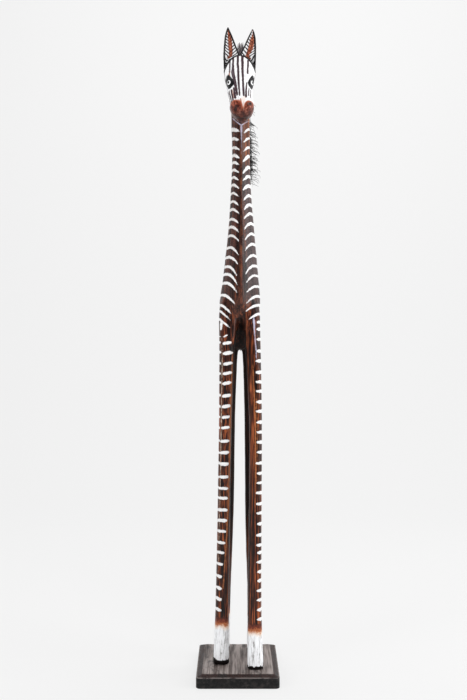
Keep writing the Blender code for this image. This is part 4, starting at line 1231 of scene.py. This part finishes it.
def uprightFibres(node, count, rand):
    middle, low, high = partMiddle(node)
    height = high[2] - low[2]
    paths = []
    for _ in range(count):
        turn, spread = rand.uniform(0, 2 * math.pi), rand.uniform(0, 1) ** 0.5
        lean = Vector((math.cos(turn), math.sin(turn) * 0.7, 0)) * spread
        length = height * rand.uniform(0.7, 0.98)
        curl = rand.uniform(-1.0, 1.0)
        path = []
        for k in range(hairSettings["steps"]):
            t = k / (hairSettings["steps"] - 1)
            path.append(Vector((middle[0] + 1.5 * t, middle[1], low[2]))
                        + lean * (1.4 + 3.4 * math.sin(t * 2.2))
                        + Vector((curl * t * t, 0.6 * curl * math.sin(t * 4), length * t)))
        paths.append(path)
    return paths


def tailFibres(node, count, rand):
    middle, low, high = partMiddle(node)
    width, drop = high[1] - low[1], high[2] - low[2]
    paths = []
    for _ in range(count):
        turn, spread = rand.uniform(0, 2 * math.pi), rand.uniform(0, 1) ** 0.5
        aside = Vector((math.cos(turn), math.sin(turn), 0)) * spread
        length = drop * rand.uniform(0.8, 0.99)
        curl = rand.uniform(-1.5, 1.5)
        path = []
        for k in range(hairSettings["steps"] + 2):
            t = k / (hairSettings["steps"] + 1)
            out = (width - 5) * math.sin(min(1, t * 3) * math.pi / 2)
            path.append(Vector((middle[0], low[1] + 1.0, high[2] - 1.0))
                        + Vector((0, out, -length * t ** 1.25))
                        + aside * (1.2 + 3.6 * math.sin(min(1.0, t * 1.3) * 2.2))
                        + Vector((curl * t * t, 0.5 * curl * math.sin(t * 5), 0)))
        paths.append(path)
    return paths


def fibreMaterial(name, darkest, lightest):
    material, tree, sockets, place = newMaterial(name, 0.55, gloss=0.25)
    tone = fibrous(tree, place, (500, 500, 60), 3.0)
    feed(tree, sockets["Base Color"], ramp(tree, tone, ((0.35, darkest), (0.7, lightest))))
    roughen(tree, sockets, tone, 0.42, 0.65)
    addRelief(tree, sockets, tone, 0.05)
    return material


maneHair = fibreMaterial("Mane fibre", (0.010, 0.010, 0.011), (0.055, 0.052, 0.052))
forelockHair = fibreMaterial("Forelock fibre", (0.045, 0.034, 0.036), (0.34, 0.29, 0.30))
rand = random.Random(29)
for k, counts in enumerate(zip(hairSettings["maneOut"], hairSettings["maneBehind"]), start=1):
    node = f"mane_tuft_{k}"
    name = f"Mane_tuft_{k}"
    fibres = buildFibres(name, maneFibres(node, *counts, rand), hairSettings["thickness"])
    placePiece(name, fibres, maneHair, [node])
thicker = hairSettings["thickness"] * 1.1
paths = uprightFibres("forelock_tuft", hairSettings["forelockCount"], random.Random(5))
forelock = buildFibres("Forelock", paths, thicker)
placePiece("Forelock", forelock, forelockHair, ["forelock_tuft"])
paths = tailFibres("tail_tuft", hairSettings["tailCount"], rand)
placePiece("Tail", buildFibres("Tail", paths, thicker), maneHair, ["tail_tuft"])
print("hair done")


# Pins, dowel and screws keep their own shapes

def paleWoodMaterial():
    material, tree, sockets, place = newMaterial("Pale wood", 0.6)
    grain = useGroup(tree, grainGroup, Place=place, Fineness=900.0, Run=0.05)
    feed(tree, sockets["Base Color"], ramp(tree, grain["Streaks"], (
        (0.35, (0.34, 0.22, 0.12)), (0.65, (0.62, 0.47, 0.30)))))
    roughen(tree, sockets, grain["Lines"], 0.5, 0.7)
    addRelief(tree, sockets, grain["Height"], 0.1)
    return material


def screwSteelMaterial():
    material, tree, sockets, place = newMaterial("Zinc steel", 0.35)
    sockets["Metallic"].default_value = 1.0
    spots = speckle(tree, place, 700.0, 3.0)
    feed(tree, sockets["Base Color"], ramp(tree, spots, (
        (0.35, (0.42, 0.42, 0.44)), (0.7, (0.66, 0.66, 0.67)))))
    roughen(tree, sockets, spots, 0.28, 0.5)
    addRelief(tree, sockets, spots, 0.03)
    return material


paleWood, screwSteel = paleWoodMaterial(), screwSteelMaterial()
for nodeName, node in frame["nodes"].items():
    if nodeName.startswith(("ear_pin", "neck_dowel")):
        node.data.materials.clear()
        node.data.materials.append(paleWood)
    elif nodeName.startswith("leg_screw"):
        node.data.materials.clear()
        node.data.materials.append(screwSteel)
print("hardware done")


# Studio: pale floor that curves up into the backdrop, soft lights, camera

studioSettings = {
    "glow": 0.70,
    "paper": 0.16,
    "skyFront": 0.07,
    "skyBehind": 0.9,
    "skySeen": 0.92,
    "cameraPlace": (-0.0064, -1.516, 0.500),
    "lens": 50,
    # Place, what it points at, size, watts and whether it shows in the varnish
    "lamps": {
        "Right softbox": ((1.5, -0.45, 0.9), (0, 0, 0.55), (0.8, 1.7), 20, True),
        "Front key": ((0.5, -2.0, 2.2), (0, 0, 0.5), (1.2, 1.0), 29, False),
        "Left fill": ((-1.6, -1.6, 1.0), (0, 0, 0.5), (1.0, 1.3), 28, False),
        "Backdrop light": ((0.3, 0.5, 2.6), (0.3, 2.6, 1.1), (1.6, 0.6), 54, False),
    },
}


def buildStudio():
    s = studioSettings
    bm = bmesh.new()
    profile = [(-4.0, 0.0), (1.4, 0.0)]
    profile += [(1.4 + 1.2 * math.sin(a), 1.2 - 1.2 * math.cos(a))
                for a in [math.pi / 2 * k / 10 for k in range(1, 11)]]
    profile += [(2.6, 5.0)]
    verts = [bm.verts.new((-5, y, z)) for y, z in profile]
    edges = [bm.edges.new(pair) for pair in zip(verts, verts[1:])]
    swept = bmesh.ops.extrude_edge_only(bm, edges=edges)["geom"]
    moved = [v for v in swept if isinstance(v, bmesh.types.BMVert)]
    bmesh.ops.translate(bm, vec=(10, 0, 0), verts=moved)
    bmesh.ops.recalc_face_normals(bm, faces=bm.faces)
    mesh = meshFrom("Floor", bm)
    mesh.shade_smooth()
    floor = addObject("Floor", mesh)
    material = bpy.data.materials.new("Paper backdrop")
    material.use_nodes = True
    inputs = material.node_tree.nodes["Principled BSDF"].inputs
    inputs["Base Color"].default_value = (s["paper"],) * 3 + (1,)
    inputs["Roughness"].default_value = 1.0
    inputs["Specular IOR Level"].default_value = 0.0
    inputs["Emission Color"].default_value = (1, 1, 1, 1)
    inputs["Emission Strength"].default_value = s["glow"]
    mesh.materials.append(material)

    # Light from all round, brighter behind the figure than in front, and plain where it is seen
    world = bpy.data.worlds.new("Studio")
    world.use_nodes = True
    tree = world.node_tree
    direction = addNode(tree, "SeparateXYZ")
    feed(tree, direction.inputs[0], addNode(tree, "TexCoord").outputs["Generated"])
    sky = between(tree, direction.outputs[1], -0.5, 0.6, s["skyFront"], s["skyBehind"])
    seen = addNode(tree, "LightPath").outputs["Is Camera Ray"]
    strength = calc(tree, "MULTIPLY_ADD", seen, calc(tree, "SUBTRACT", s["skySeen"], sky), sky)
    background = tree.nodes["Background"]
    background.inputs[0].default_value = (1, 1, 1, 1)
    feed(tree, background.inputs[1], strength)
    bpy.context.scene.world = world

    def softbox(name, place, target, size, power, shows):
        light = bpy.data.lights.new(name, "AREA")
        light.shape = "RECTANGLE"
        light.size, light.size_y = size
        light.energy = power
        holder = addObject(name, light)
        holder.location = place
        holder.visible_glossy = shows
        aim = Vector(target) - Vector(place)
        holder.rotation_euler = aim.to_track_quat("-Z", "Y").to_euler()

    for name, lamp in s["lamps"].items():
        softbox(name, *lamp)

    camera = bpy.data.cameras.new("Camera")
    camera.lens = s["lens"]
    cameraHolder = addObject("Camera", camera)
    cameraHolder.location = s["cameraPlace"]
    cameraHolder.rotation_euler = (math.radians(90), 0, 0)
    bpy.context.scene.camera = cameraHolder
    bpy.context.scene.view_settings.view_transform = "Standard"


buildStudio()
print("studio done")
